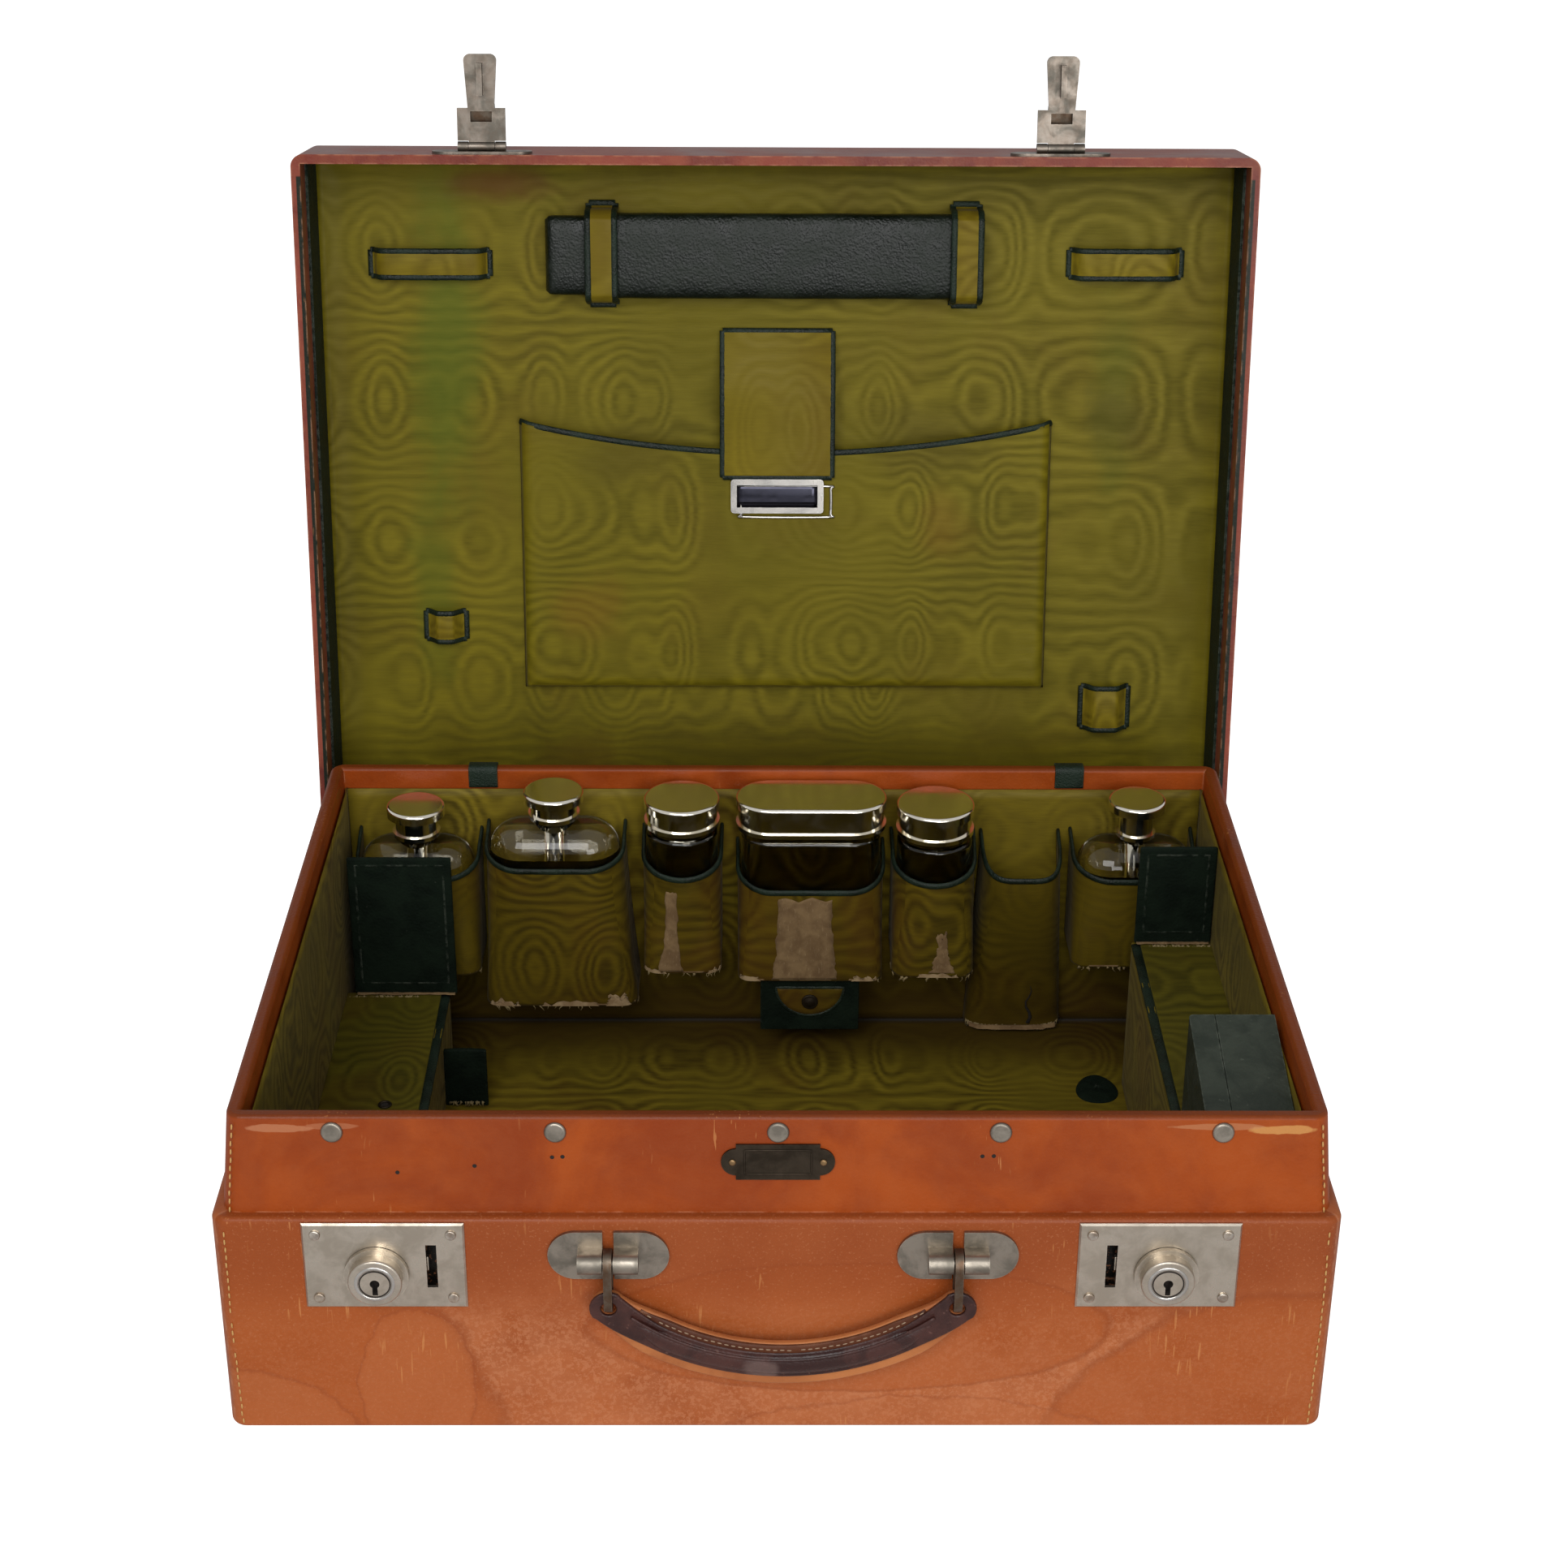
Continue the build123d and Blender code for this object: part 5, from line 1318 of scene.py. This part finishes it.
def pockets():
    """The silk pockets along the back wall, bound at the mouth and frayed at the foot."""
    tab_low, tab_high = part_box("snap_tab")
    over_tab = (tab_low.x - 3 * mm, tab_high.x + 3 * mm)
    for k, name in enumerate(bottle_names):
        node = name + "_pocket"
        front_height, side_height = (height * mm for height in bottle_mouths[name])
        flare = 6.5 * mm if name == "wide_flask" else 0.0
        place = pocket_surface(node, front_height, side_height, flare, k * 3.3)
        cloth = piece(name + "_pouch", grid(pocket_steps, 40, place), pocket_moire, "case",
                      "moire_silk", cloth=0.7 * k)
        thicken(cloth, 0.8 * mm)
        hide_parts(node)
        low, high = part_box(node)
        around = path_length(even(pocket_plan(node), pocket_steps))
        mouth = [place(i / 90, 1.0) for i in range(91)]
        binding(name + "_mouth", mouth, outward_from(mouth), "case", 1.6 * mm, 0.95 * mm,
                seed=2.0 + k)
        base = [place(i / 40, 0.0) for i in range(8, 33)]
        threads = 26 if name == "wide_flask" else 18
        fray(name + "_fray", base, downward, 3.0 * mm, threads, 20 + k, over_tab)
        floor = low.z + 1.2 * mm
        foot = [place(i / 36, 0.0) for i in range(37)]
        points = [Vector(((low.x + high.x) / 2, high.y, floor))]
        points += [Vector((point.x, point.y, floor)) for point in foot]
        faces = [(0, i, i + 1) for i in range(1, len(points) - 1)]
        thicken(piece(name + "_pocket_base", (points, faces), card, "case", smooth=False), 0.8 * mm)
        if name in tears:
            patch_on(name + "_tear", place, card, *tears[name])
        for i, (share, wide, tall) in enumerate(worn_feet.get(name, ())):
            patch_on(f"{name}_worn_foot_{i}", place, pale_card, share, share + wide, 0.0, tall,
                     0.01, 50 + 3 * i + len(name), 0.01)


def outward_from(line):
    """Facing away from the back wall's middle of a mouth line."""
    middle = Vector(((line[0].x + line[-1].x) / 2, line[0].y, 0))

    def at(index):
        offset = line[index] - middle
        offset.z = 0
        return offset.normalized() if offset.length > 1e-6 else to_front
    return at


def empty_pocket():
    """The pocket whose bottle is lost, flattened towards its foot."""
    low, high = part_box("empty_pocket")
    x = (low.x + high.x) / 2
    top_half, foot_half = 19.5 * mm, 25 * mm
    top_reach, foot_reach = 38 * mm, 13 * mm
    front_height, side_height = 108 * mm, 117 * mm

    def plan(t, v):
        half = foot_half + (top_half - foot_half) * v
        reach = foot_reach + (top_reach - foot_reach) * ease(v)
        turn = math.pi * t
        across = bulged(math.cos(turn), 0.5)
        return x - half * across, high.y - reach * math.sin(turn) ** 0.55

    def place(u, v, lift=0.0):
        px, py = plan(u, v)
        share = (high.y - py) / top_reach
        mouth = side_height + (front_height - side_height) * share
        z = low.z + (mouth - low.z) * v
        crumple = 1.4 * mm * rough((px, py, z), 18 * mm, 9.0) * (1 - v) * math.sin(math.pi * u)
        return Vector((px, min(py + crumple + 0.3 * mm - lift, high.y), z))

    cloth = piece("empty_pouch", grid(64, 60, place), pocket_moire, "case", "moire_silk", cloth=5.0)
    thicken(cloth, 0.8 * mm)
    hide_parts("empty_pocket")
    mouth = [place(i / 70, 1.0) for i in range(71)]
    around, tall = path_length(mouth), side_height - low.z
    binding("empty_mouth", mouth, outward_from(mouth), "case", 1.6 * mm, 0.95 * mm, seed=8.0)
    base = [place(i / 40, 0.02) for i in range(4, 37)]
    fray("empty_fray", base, downward, 4 * mm, 46, 44)
    # The slit is a thin near-black strip of painted shade.
    slit = [place(0.53 + 0.012 * math.sin(k * 1.3), 0.03 + 0.034 * k, 0.5 * mm) for k in range(8)]
    shape = sweep(slit, round_section(0.9 * mm, 0.25 * mm, 6), to_front, swell=lambda t: 1.1 - t)
    piece("empty_slit", shape, hollow, "case")

    def torn_foot(u, v):
        front = place(0.2 + 0.6 * u, 0.0)
        reach = (2.6 + 1.6 * rough((u * 7, 1, 1), 1.0)) * mm * v
        rise = (1.6 - 1.2 * v) * mm + 0.5 * mm * rough((u * 9, v, 3), 1.0)
        return Vector((front.x, front.y - reach, low.z + rise))

    thicken(piece("empty_torn_foot", grid(26, 4, torn_foot), card, "case"), 0.3 * mm)


def covered_board(name, low, high, material, body, slot, cloth, rounding, cells,
                  bend=lambda point: point):
    """A thin board covered in silk or leather, with soft edges."""
    thing = piece(name, block(low, high, cells, bend), material, body, slot, cloth, merge=True)
    return soften(thing, rounding, 3)


def side_shelves():
    """Shelves and partitions at both ends of the tray, silk on top, bound along the inner edge."""
    partition_low, partition_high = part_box("side_partitions")
    board, gap = 4 * mm, 0.1 * mm
    front = -tray_back + gap
    for side, hand, inner, height, back, spots in (
        ("left", -1, partition_low.x + board, 48 * mm, 108 * mm, 20),
        ("right", 1, partition_high.x - board, 88 * mm, 90 * mm, 17),
    ):
        outer, past = hand * tray_side, inner + hand * board
        near, far = min(outer, past) + gap, max(outer, past) - gap
        edge = min(inner, past)
        top = covered_board(
            f"{side}_shelf_silk", (near, front, height - 2.9 * mm), (far, back - gap, height),
            shelf_moire, "case", "moire_silk", 3.0 + hand, 0.5 * mm, (12, 30, 1))
        covered_board(
            f"{side}_shelf_back", (near, back - 2.9 * mm, tray_floor), (far, back, height - 3 * mm),
            tray_moire, "case", "moire_silk", 2.0, 0.4 * mm, (8, 1, 10))
        partition = covered_board(
            f"{side}_partition", (edge, front, tray_floor), (edge + board, back, height - 0.2 * mm),
            tray_moire, "case", "moire_silk", 4.4, 0.6 * mm, (1, 30, 10))
        if side == "left":
            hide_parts("side_shelves")
            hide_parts("side_partitions")
        line = []
        for k in range(51):
            y = -tray_back + 2 * mm + (back + tray_back - 4 * mm) * k / 50
            z = height - 0.85 * mm + 0.3 * mm * rough((k, hand, 0), 4.0)
            line.append(Vector((inner + hand * board / 2, y, z)))
        binding(f"{side}_partition_binding", line, upward, "case", 2.4 * mm, 1.0 * mm,
                seed=6.0 + hand)
        lip = [Vector((outer - hand * (1 * mm + k * mm * 1.9), back - 4.5 * mm, height - 0.05 * mm))
               for k in range(spots)]
        fray(f"{side}_shelf_fray", lip, to_back, 4.5 * mm, 60, 60 + hand)


def flaps():
    """Stiff leather flaps standing at the back of the side shelves."""
    bow, inset, foot_inset = 0.8 * mm, 4 * mm, 6.5 * mm
    for side, _ in sides:
        low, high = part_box(f"{side}_flap")
        middle, half = (low.x + high.x) / 2, (high.x - low.x) / 2

        def bend(point):
            share = (point.x - middle) / half
            rise = (point.z - low.z) / (high.z - low.z)
            depth = bow * (share ** 2 - 1) * math.sin(math.pi * rise) * 0.6
            return Vector((point.x, point.y + depth, point.z))

        thing = covered_board(
            f"{side}_flap_board", (low.x, low.y + 0.5 * mm, low.z), (high.x, high.y, high.z),
            flap_leather, f"{side}_flap", "green_leather", None, 1.0 * mm, (16, 1, 22), bend)
        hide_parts(f"{side}_flap")
        border = rectangle(low.x + inset, low.z + foot_inset, high.x - inset, high.z - inset, 12)
        line = [bend(Vector((x, low.y + 0.62 * mm, z))) for x, z in border]
        welt = sweep(line, round_section(0.6 * mm, 0.35 * mm), to_front, True)
        piece(f"{side}_flap_welt", welt, flap_leather, f"{side}_flap", "green_leather")

        def torn_hinge(u, v):
            x = low.x + 1 * mm + (high.x - low.x - 2 * mm) * u
            reach = (0.8 + 0.7 * rough((u * 9, low.x, 0), 1.0)) * mm
            rise = (0.35 + 0.5 * (1 - v)) * mm + 0.3 * mm * rough((u * 14, v, 1), 1.0)
            return Vector((x, low.y + 0.6 * mm - (reach + 0.6 * mm) * v, low.z + rise))

        thicken(piece(f"{side}_flap_torn_foot", grid(40, 3, torn_hinge), card, "case"), 0.25 * mm)


def snap_tab():
    """Hanging tab with a silk half-round and a press stud."""
    low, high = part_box("snap_tab")
    thing = covered_board("snap_tab_board", low, high, flap_leather, "snap_tab", "green_leather",
                          None, 0.7 * mm, (10, 1, 8))
    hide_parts("snap_tab")
    x, face = (low.x + high.x) / 2, low.y
    top, radius = high.z - 5 * mm, 17 * mm

    def half_disc(u, v):
        turn = math.pi * u
        return Vector((x - radius * v * math.cos(turn), face - 0.25 * mm,
                       top - radius * 0.95 * v * math.sin(turn)))

    silk = piece("snap_tab_silk", grid(24, 6, half_disc), pocket_moire, "snap_tab", "moire_silk",
                 cloth=7.0)
    thicken(silk, 0.3 * mm)
    rim = [half_disc(k / 24, 1.0) for k in range(25)]
    rim += [half_disc(1, 1 - k / 10) for k in range(1, 10)]
    rim += [half_disc(0, k / 10) for k in range(10)]
    binding("snap_tab_rim", rim, to_front, "snap_tab", 0.8 * mm, 0.5 * mm, closed=True)
    button("snap_stud", (x, face - 0.4 * mm, top - 8 * mm), to_front, 4.2 * mm, 1.9 * mm,
           bronze, "snap_tab", "bronze", rimmed)


rimmed = ((1.0, 0.0), (1.0, 0.35), (0.92, 0.6), (0.8, 0.55), (0.62, 0.62), (0.4, 0.9), (0.18, 1.0))
domed = ((1.0, 0.0), (0.97, 0.35), (0.85, 0.68), (0.62, 0.88), (0.3, 0.98))


def button(name, centre, out, radius, height, material, body, slot=None, profile=domed):
    """A small turned button. The profile gives its shares of radius and height."""
    count, last = 20, len(profile) - 1
    side = out.orthogonal().normalized()
    across = out.cross(side)

    def place(u, v):
        turn = 2 * math.pi * u
        reach, rise = profile[round(v * last)]
        return (Vector(centre) + (side * math.cos(turn) + across * math.sin(turn)) * radius * reach
                + out * height * rise)

    points, faces = grid(count, last, place, closed=True)
    faces.append(tuple(range(last * count, (last + 1) * count)))
    faces.append(tuple(reversed(range(count))))
    piece(name, (points, faces), material, body, slot)


def floor_tabs():
    """Two loose leather tabs on the tray's floor."""
    low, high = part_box("floor_tabs")
    width = 21 * mm

    def bend(point):
        return point + to_back * 1.0 * mm * math.sin((point.x - low.x) / width * 3.1)

    left = covered_board(
        "left_floor_tab", (low.x, 68.7 * mm, tray_floor),
        (low.x + width, 71.3 * mm, tray_floor + 32 * mm),
        flap_leather, "case", "green_leather", None, 0.8 * mm, (6, 1, 8), bend)
    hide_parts("floor_tabs")
    base = [Vector((low.x + 2 * mm + k * mm * 1.7, 68.2 * mm, tray_floor + 3 * mm))
            for k in range(11)]
    fray("left_tab_fray", base, Vector((0, -0.3, -1)).normalized(), 2.6 * mm, 26, 71)
    centre = Vector((high.x - width / 2, 84 * mm, tray_floor))

    def disc(u, v):
        turn = 2 * math.pi * u
        reach = v * (1 - 0.05 * math.sin(3 * turn))
        rise = 2.0 * mm * math.sqrt(max(1 - v ** 4, 0)) * (0.9 + 0.1 * math.sin(5 * turn))
        return centre + Vector((width / 2 * reach * math.cos(turn),
                                13 * mm * reach * math.sin(turn), rise))

    piece("right_floor_tab", grid(40, 8, disc, closed=True), flap_leather, "case", "green_leather")


def rim_tabs():
    """Green leather tabs folded over the back rim."""
    low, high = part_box("rim_tabs")
    width, thick, inner_drop = 14.5 * mm, 1.0 * mm, 11 * mm
    inner, outer, top = low.y + thick / 2, high.y - thick / 2, high.z - thick / 2
    outline = [(inner, high.z - inner_drop), (inner, top - 3 * mm),
               (inner + 0.6 * mm, top - 0.8 * mm), (inner + 2 * mm, top), (outer - 2 * mm, top),
               (outer - 0.6 * mm, top - 0.8 * mm), (outer, top - 3 * mm), (outer, low.z + 0.5 * mm)]
    for side, x in (("left", low.x + width / 2), ("right", high.x - width / 2)):
        path = smooth_path([Vector((x, y, z)) for y, z in outline], 5)
        out = outward(path, -along_x)
        shape = sweep(path, flat_section(width / 2, thick / 2), out)
        thing = piece(f"{side}_rim_tab", shape, binding_leather, "case", "green_leather")
        if side == "left":
            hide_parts("rim_tabs")


def eyelet():
    """Small eyelet in the left shelf, with a near-black disc of painted shade for its hole."""
    centre = Vector((-183 * mm, 5 * mm, 48.3 * mm))
    ring = [centre + Vector((2.6 * mm * math.cos(turn), 2.6 * mm * math.sin(turn), 0.1 * mm))
            for turn in full_turn(24)]
    piece("shelf_eyelet", sweep(ring, round_section(0.7 * mm, 0.5 * mm), upward, True),
          bronze, "case", "bronze")
    button("shelf_eyelet_hole", centre + downward * 0.2 * mm, upward, 2.2 * mm, 0.2 * mm,
           hollow, "case")


tray_lining()
pockets()
empty_pocket()
side_shelves()
flaps()
snap_tab()
floor_tabs()
rim_tabs()
eyelet()


# --- Front ---------------------------------------------------------------------------------
def seams():
    """Stitching down the side seams, in front and behind."""
    sink = 0.1 * mm
    front, back = front_low.y - sink, back_high.y + sink
    for side, hand in sides:
        x = hand * 225 * mm
        path = [Vector((x - hand * 0.8 * mm, front, 4 * mm)), Vector((x, front, 55 * mm)),
                Vector((x - hand * 0.5 * mm, front, 102 * mm))]
        stitch_row(f"front_{side}_seam", path, to_front, "case", 3 + hand)
        low, high = 108 * mm, 146 * mm
        path = [Vector((hand * 222.3 * mm, collar_face(low) - sink, low)),
                Vector((hand * 219.0 * mm, collar_face(high) - sink, high))]
        stitch_row(f"collar_{side}_seam", path, to_front, "case", 7 + hand)
        path = [Vector((x, back, 4 * mm)), Vector((x, back, 100 * mm))]
        stitch_row(f"back_{side}_seam", path, to_back, "case", 11 + hand)


def old_holes():
    """Pin holes and nail stumps on the collar, drawn as small near-black discs of painted shade, at
    x and z in mm.
    """
    spots = ((-91.0, 132.0), (-86.8, 132.2), (82.4, 132.5), (87.0, 132.6), (-153.5, 125.0),
             (-122.3, 128.0))
    for k, (x, z) in enumerate(spots, 1):
        button(f"collar_pin_hole_{k}", (x * mm, collar_face(z * mm), z * mm), to_front,
               0.9 * mm, 0.25 * mm, hollow, "case")


def nameplate_trim():
    """A plain raised border and two rivets on the small dark plate."""
    low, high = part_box("nameplate")
    x, middle = (low.x + high.x) / 2, (low.z + high.z) / 2
    thickness = 1.0 * mm

    def plate_face(z):
        return collar_face(z) - thickness

    for side, rivet in (("left", low.x + 4.6 * mm), ("right", high.x - 4.6 * mm)):
        button(f"nameplate_{side}_rivet", (rivet, plate_face(middle), middle), to_front,
               1.5 * mm, 0.8 * mm, brass, "case", "screw_brass")
    reach = (high.x - low.x) / 2 - 9.5 * mm
    half = (high.z - low.z) / 2 - 2.6 * mm
    border = rectangle(x - reach, middle - half, x + reach, middle + half, 8)
    line = [Vector((a, plate_face(z) - 0.05 * mm, z)) for a, z in border]
    piece("nameplate_border", sweep(line, round_section(0.45 * mm, 0.3 * mm, 6), to_front, True),
          bronze, "case", "bronze")


def lock_bolts():
    """The bolt that shows in each hasp slot."""
    for side, hand in sides:
        low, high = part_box(f"{side}_lock_plate")
        x = (low.x + high.x) / 2 - hand * 19.2 * mm
        z = (low.z + high.z) / 2
        near, far = sorted((x + hand * 1.5 * mm, x + hand * 2.15 * mm))
        shape = block((near, front_low.y + 0.4 * mm, z - 3.2 * mm),
                      (far, front_low.y + 2.4 * mm, z + 3.2 * mm), (2, 2, 2))
        bolt = piece(f"{side}_lock_bolt", shape, nickel, f"{side}_lock_knob", "nickel", merge=True)
        soften(bolt, 0.1 * mm)


def hasp_leaves():
    """A dark spring leaf behind the window of each hasp."""
    for side, _ in sides:
        low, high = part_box(f"{side}_hasp")
        x = (low.x + high.x) / 2
        hinge = Vector(joints[f"{side}_hasp_hinge"]["pos_m"])
        behind = high.y - 2.2 * mm
        shape = block((x - 6.4 * mm, behind, hinge.z + 9 * mm),
                      (x + 6.4 * mm, behind + 0.5 * mm, hinge.z + 19 * mm), (2, 1, 2))
        piece(f"{side}_hasp_leaf", shape, steel, f"{side}_hasp", "worn_steel", merge=True,
              smooth=False)


def knob_middle(side):
    """Middle of the face of a lock's knob."""
    low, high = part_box(f"{side}_lock_knob")
    return (low.x + high.x) / 2, low.y, (low.z + high.z) / 2


def knob_rings():
    """The raised ring on each lock knob's face, and inside it a thin near-black ring of painted
    shade for a groove.
    """
    for side, _ in sides:
        x, face, z = knob_middle(side)
        for name, radius, wide, material, slot in (
            ("ring", 7.6 * mm, 0.9 * mm, bright_nickel, "nickel"),
            ("groove_shade", 6.3 * mm, 0.35 * mm, hollow, None),
        ):
            line = [Vector((x + radius * math.cos(turn), face + 0.15 * mm,
                            z + radius * math.sin(turn))) for turn in full_turn(40)]
            shape = sweep(line, round_section(wide, 0.5 * mm), to_front, True)
            piece(f"{side}_knob_{name}", shape, material, f"{side}_lock_knob", slot)


def key_ways():
    """Painted shade: near-black insides of the keyholes, from outlines in mm."""
    square = ((-2.2, -6), (2.2, -6), (2.2, 2.4), (-2.2, 2.4))
    keyhole = ((-1.05, -5.4), (1.05, -5.4), (1.05, -1.7), (1.9, -0.4), (1.3, 1.4), (0, 1.95),
               (-1.3, 1.4), (-1.9, -0.4), (-1.05, -1.7))
    count = len(keyhole)
    for side, _ in sides:
        x, face, z = knob_middle(side)
        floor = face + 3.6 * mm
        points = [Vector((x + a * mm, floor, z + b * mm)) for a, b in square]
        back = piece(f"{side}_keyhole_back", (points, [(0, 1, 2, 3)]), hollow, f"{side}_lock_knob")
        thicken(back, 0.2 * mm)
        tube = [Vector((x + a * mm, y, z + b * mm))
                for y in (face + 0.5 * mm, floor) for a, b in keyhole]
        faces = [(k, (k + 1) % count, count + (k + 1) % count, count + k) for k in range(count)]
        piece(f"{side}_keyhole_wall", (tube, faces), hollow, f"{side}_lock_knob", smooth=False)


def grip():
    """Flat tan strap with a dark rolled grip along it, and a loop round each ring."""
    low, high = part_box("handle_grip")
    y = (low.y + high.y) / 2
    ring_low, ring_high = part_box("handle_rings")
    left, right = ring_low.x + 1.7 * mm, ring_high.x - 1.7 * mm
    middle, half_span = (left + right) / 2, (right - left) / 2
    eye_z = 68.2 * mm
    sag = eye_z - (low.z + 9.5 * mm)
    radius = (half_span ** 2 + sag ** 2) / (2 * sag)
    centre_z = eye_z - sag + radius
    spread = math.asin(half_span / radius)
    hole = 3.2 * mm

    def at(t, rise=0.0, forward=0.0):
        """A point of the hanging arc, t from ring to ring."""
        turn = spread * (2 * t - 1)
        reach = radius - rise
        return Vector((middle + reach * math.sin(turn), y - forward,
                       centre_z - reach * math.cos(turn)))

    def outline(half, upper, lower, end):
        """Closed outline, in mm: the lower edge, a round end, the upper edge, a round end."""
        def bulge(t):
            return ease(min(t, 1 - t) / 0.16)

        shares = [k / 60 for k in range(61)]
        points = [at(t, -(half + lower * bulge(t)) * mm) for t in shares]
        for t, hand in ((1.0, 1), (0.0, -1)):
            tangent = (at(min(t + 0.01, 1.0)) - at(max(t - 0.01, 0.0))).normalized()
            up = Vector((-tangent.z, 0, tangent.x))
            for k in range(1, 12):
                turn = math.pi * k / 12
                points.append(at(t) + (tangent * math.sin(turn) - up * math.cos(turn))
                              * hand * end * mm)
            if t:
                points += [at(t, (half + upper * bulge(t)) * mm) for t in reversed(shares)]
        return points

    def plate(name, points, thickness, rounding, shift, material):
        """A flat leather layer with rounded edges and a hole for each ring."""
        curve = bpy.data.curves.new(name, "CURVE")
        curve.dimensions = "2D"
        curve.fill_mode = "BOTH"
        curve.extrude = max(thickness / 2 - rounding, 0.01 * mm)
        curve.bevel_depth = rounding
        curve.bevel_resolution = 3
        holes = [[at(t) + Vector((math.cos(turn), 0, math.sin(turn))) * (hole + rounding)
                  for turn in full_turn(24)] for t in (0.0, 1.0)]
        for ring in (points, *holes):
            spline = curve.splines.new("POLY")
            spline.points.add(len(ring) - 1)
            for target, point in zip(spline.points, ring):
                target.co = (point.x, point.z, 0, 1)
            spline.use_cyclic_u = True
        holder = shown(name + "_outline", curve)
        bpy.context.view_layer.update()
        solid = holder.evaluated_get(bpy.context.evaluated_depsgraph_get())
        mesh = bpy.data.meshes.new_from_object(solid)
        bpy.data.objects.remove(holder)
        mesh.transform(Matrix(((1, 0, 0, 0), (0, 0, -1, y - shift), (0, 1, 0, 0), (0, 0, 0, 1))))
        mesh.materials.clear()
        mesh.materials.append(material)
        mesh.polygons.foreach_set("use_smooth", [True] * len(mesh.polygons))
        thing = shown(name, mesh)
        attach(thing, "handle")
        return thing

    def run(margin, rise, forward, steps=60):
        """A line along the grip, a share of it left free at both ends."""
        return [at(margin + (1 - 2 * margin) * k / steps, rise, forward) for k in range(steps + 1)]

    def swell(t):
        return 0.35 + 0.65 * ease(min(t, 1 - t) / 0.12)

    strap = plate("handle_strap", outline(6.4, 3.0, 3.1, 6.6), 3.0 * mm, 0.9 * mm, -0.6 * mm,
                  strap_tan)
    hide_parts("handle_grip")
    plate("handle_facing", outline(6.6, -1.2, -1.6, 7.2), 1.8 * mm, 0.8 * mm, 1.3 * mm,
          grip_leather)
    for name, line, section, material in (
        ("handle_roll", run(0.085, 0.3 * mm, 1.4 * mm), round_section(4.7 * mm, 2.4 * mm, 16),
         grip_leather),
        ("handle_back_strip", run(0.07, 7.3 * mm, 0.9 * mm), round_section(2.6 * mm, 1.0 * mm),
         strap_brown),
    ):
        piece(name, sweep(line, section, to_front, swell=swell), material, "handle",
              "handle_leather")
    stitch_row("handle_upper_stitches", run(0.08, 7.6 * mm, 1.75 * mm, 40), to_front, "handle", 15,
               2.9 * mm, 2.0 * mm, 0.32 * mm, pale_thread)
    welt = sweep(run(0.06, 3.3 * mm, 3.0 * mm), round_section(0.8 * mm, 0.6 * mm), to_front)
    piece("handle_welt", welt, grip_leather, "handle", "handle_leather")


seams()
old_holes()
nameplate_trim()
lock_bolts()
hasp_leaves()
knob_rings()
key_ways()
grip()


# --- Stage ---------------------------------------------------------------------------------
def white_stage():
    """Pale floor that looks white to the camera and still takes the case's shadow."""
    material, shader, where = new_material("Studio floor", Roughness=0.9)
    tree = material.node_tree
    connect(shader, mix(noise_map(where, 3.0), (0.84, 0.84, 0.84), (0.86, 0.86, 0.86)))
    seen = put("ShaderNodeLightPath", tree=tree).outputs["Is Camera Ray"]
    glow = put("ShaderNodeEmission", {"Color": (1, 1, 1, 1), "Strength": times(seen, 0.95)})
    both = put("ShaderNodeAddShader", {0: shader.outputs[0], 1: glow.outputs[0]})
    link(both.outputs[0], tree.nodes["Material Output"].inputs["Surface"])
    reach = 6.0
    corners = [(-reach, -reach, 0), (reach, -reach, 0), (reach, reach, 0), (-reach, reach, 0)]
    mesh = bpy.data.meshes.new("studio_floor")
    mesh.from_pydata(corners, [], [(0, 1, 2, 3)])
    mesh.materials.append(material)
    shown("studio_floor", mesh)

    world = bpy.data.worlds.new("Studio")
    bpy.context.scene.world = world
    world.use_nodes = True
    background = world.node_tree.nodes["Background"]
    background.inputs["Color"].default_value = (1, 1, 1, 1)
    rays = put("ShaderNodeLightPath", tree=world.node_tree).outputs
    reflected = line_of(rays["Is Glossy Ray"], 0.32, 0.24)
    link(line_of(rays["Is Camera Ray"], 0.76, reflected), background.inputs["Strength"])


def soft_light(name, place, aim, size, power):
    """A square studio softbox."""
    lamp = bpy.data.lights.new(name, "AREA")
    lamp.shape = "RECTANGLE"
    lamp.size, lamp.size_y = size
    lamp.energy = power
    holder = shown(name, lamp)
    holder.location = place
    holder.rotation_mode = "QUATERNION"
    holder.rotation_quaternion = (Vector(aim) - Vector(place)).to_track_quat("-Z", "Y")


def camera():
    """The photograph's viewpoint."""
    place = Vector((-8.629, -1103.685, 771.335)) * mm
    pitch, yaw, roll = math.radians(26.57), math.radians(0.611), math.radians(0.375)
    ahead = Vector((math.sin(yaw) * math.cos(pitch), math.cos(yaw) * math.cos(pitch),
                    -math.sin(pitch)))
    level = Vector((math.cos(yaw), -math.sin(yaw), 0))
    above = level.cross(ahead)
    right = level * math.cos(roll) + above * math.sin(roll)
    up = above * math.cos(roll) - level * math.sin(roll)
    lens = bpy.data.cameras.new("photo_camera")
    lens.sensor_width = 36.0
    lens.lens = 64.3
    lens.clip_start, lens.clip_end = 0.05, 50
    holder = shown("photo_camera", lens)
    turn = Matrix((right, up, -ahead)).transposed().to_4x4()
    holder.matrix_world = Matrix.Translation(place) @ turn
    bpy.context.scene.camera = holder


white_stage()
camera()
soft_light("key_light", (-0.4, -1.75, 1.55), (0, 0, 0.15), (1.5, 1.0), 25)
soft_light("fill_light", (0.7, -2.3, 0.7), (0, 0, 0.2), (1.2, 1.0), 17.5)
bpy.context.scene.view_settings.view_transform = "Standard"
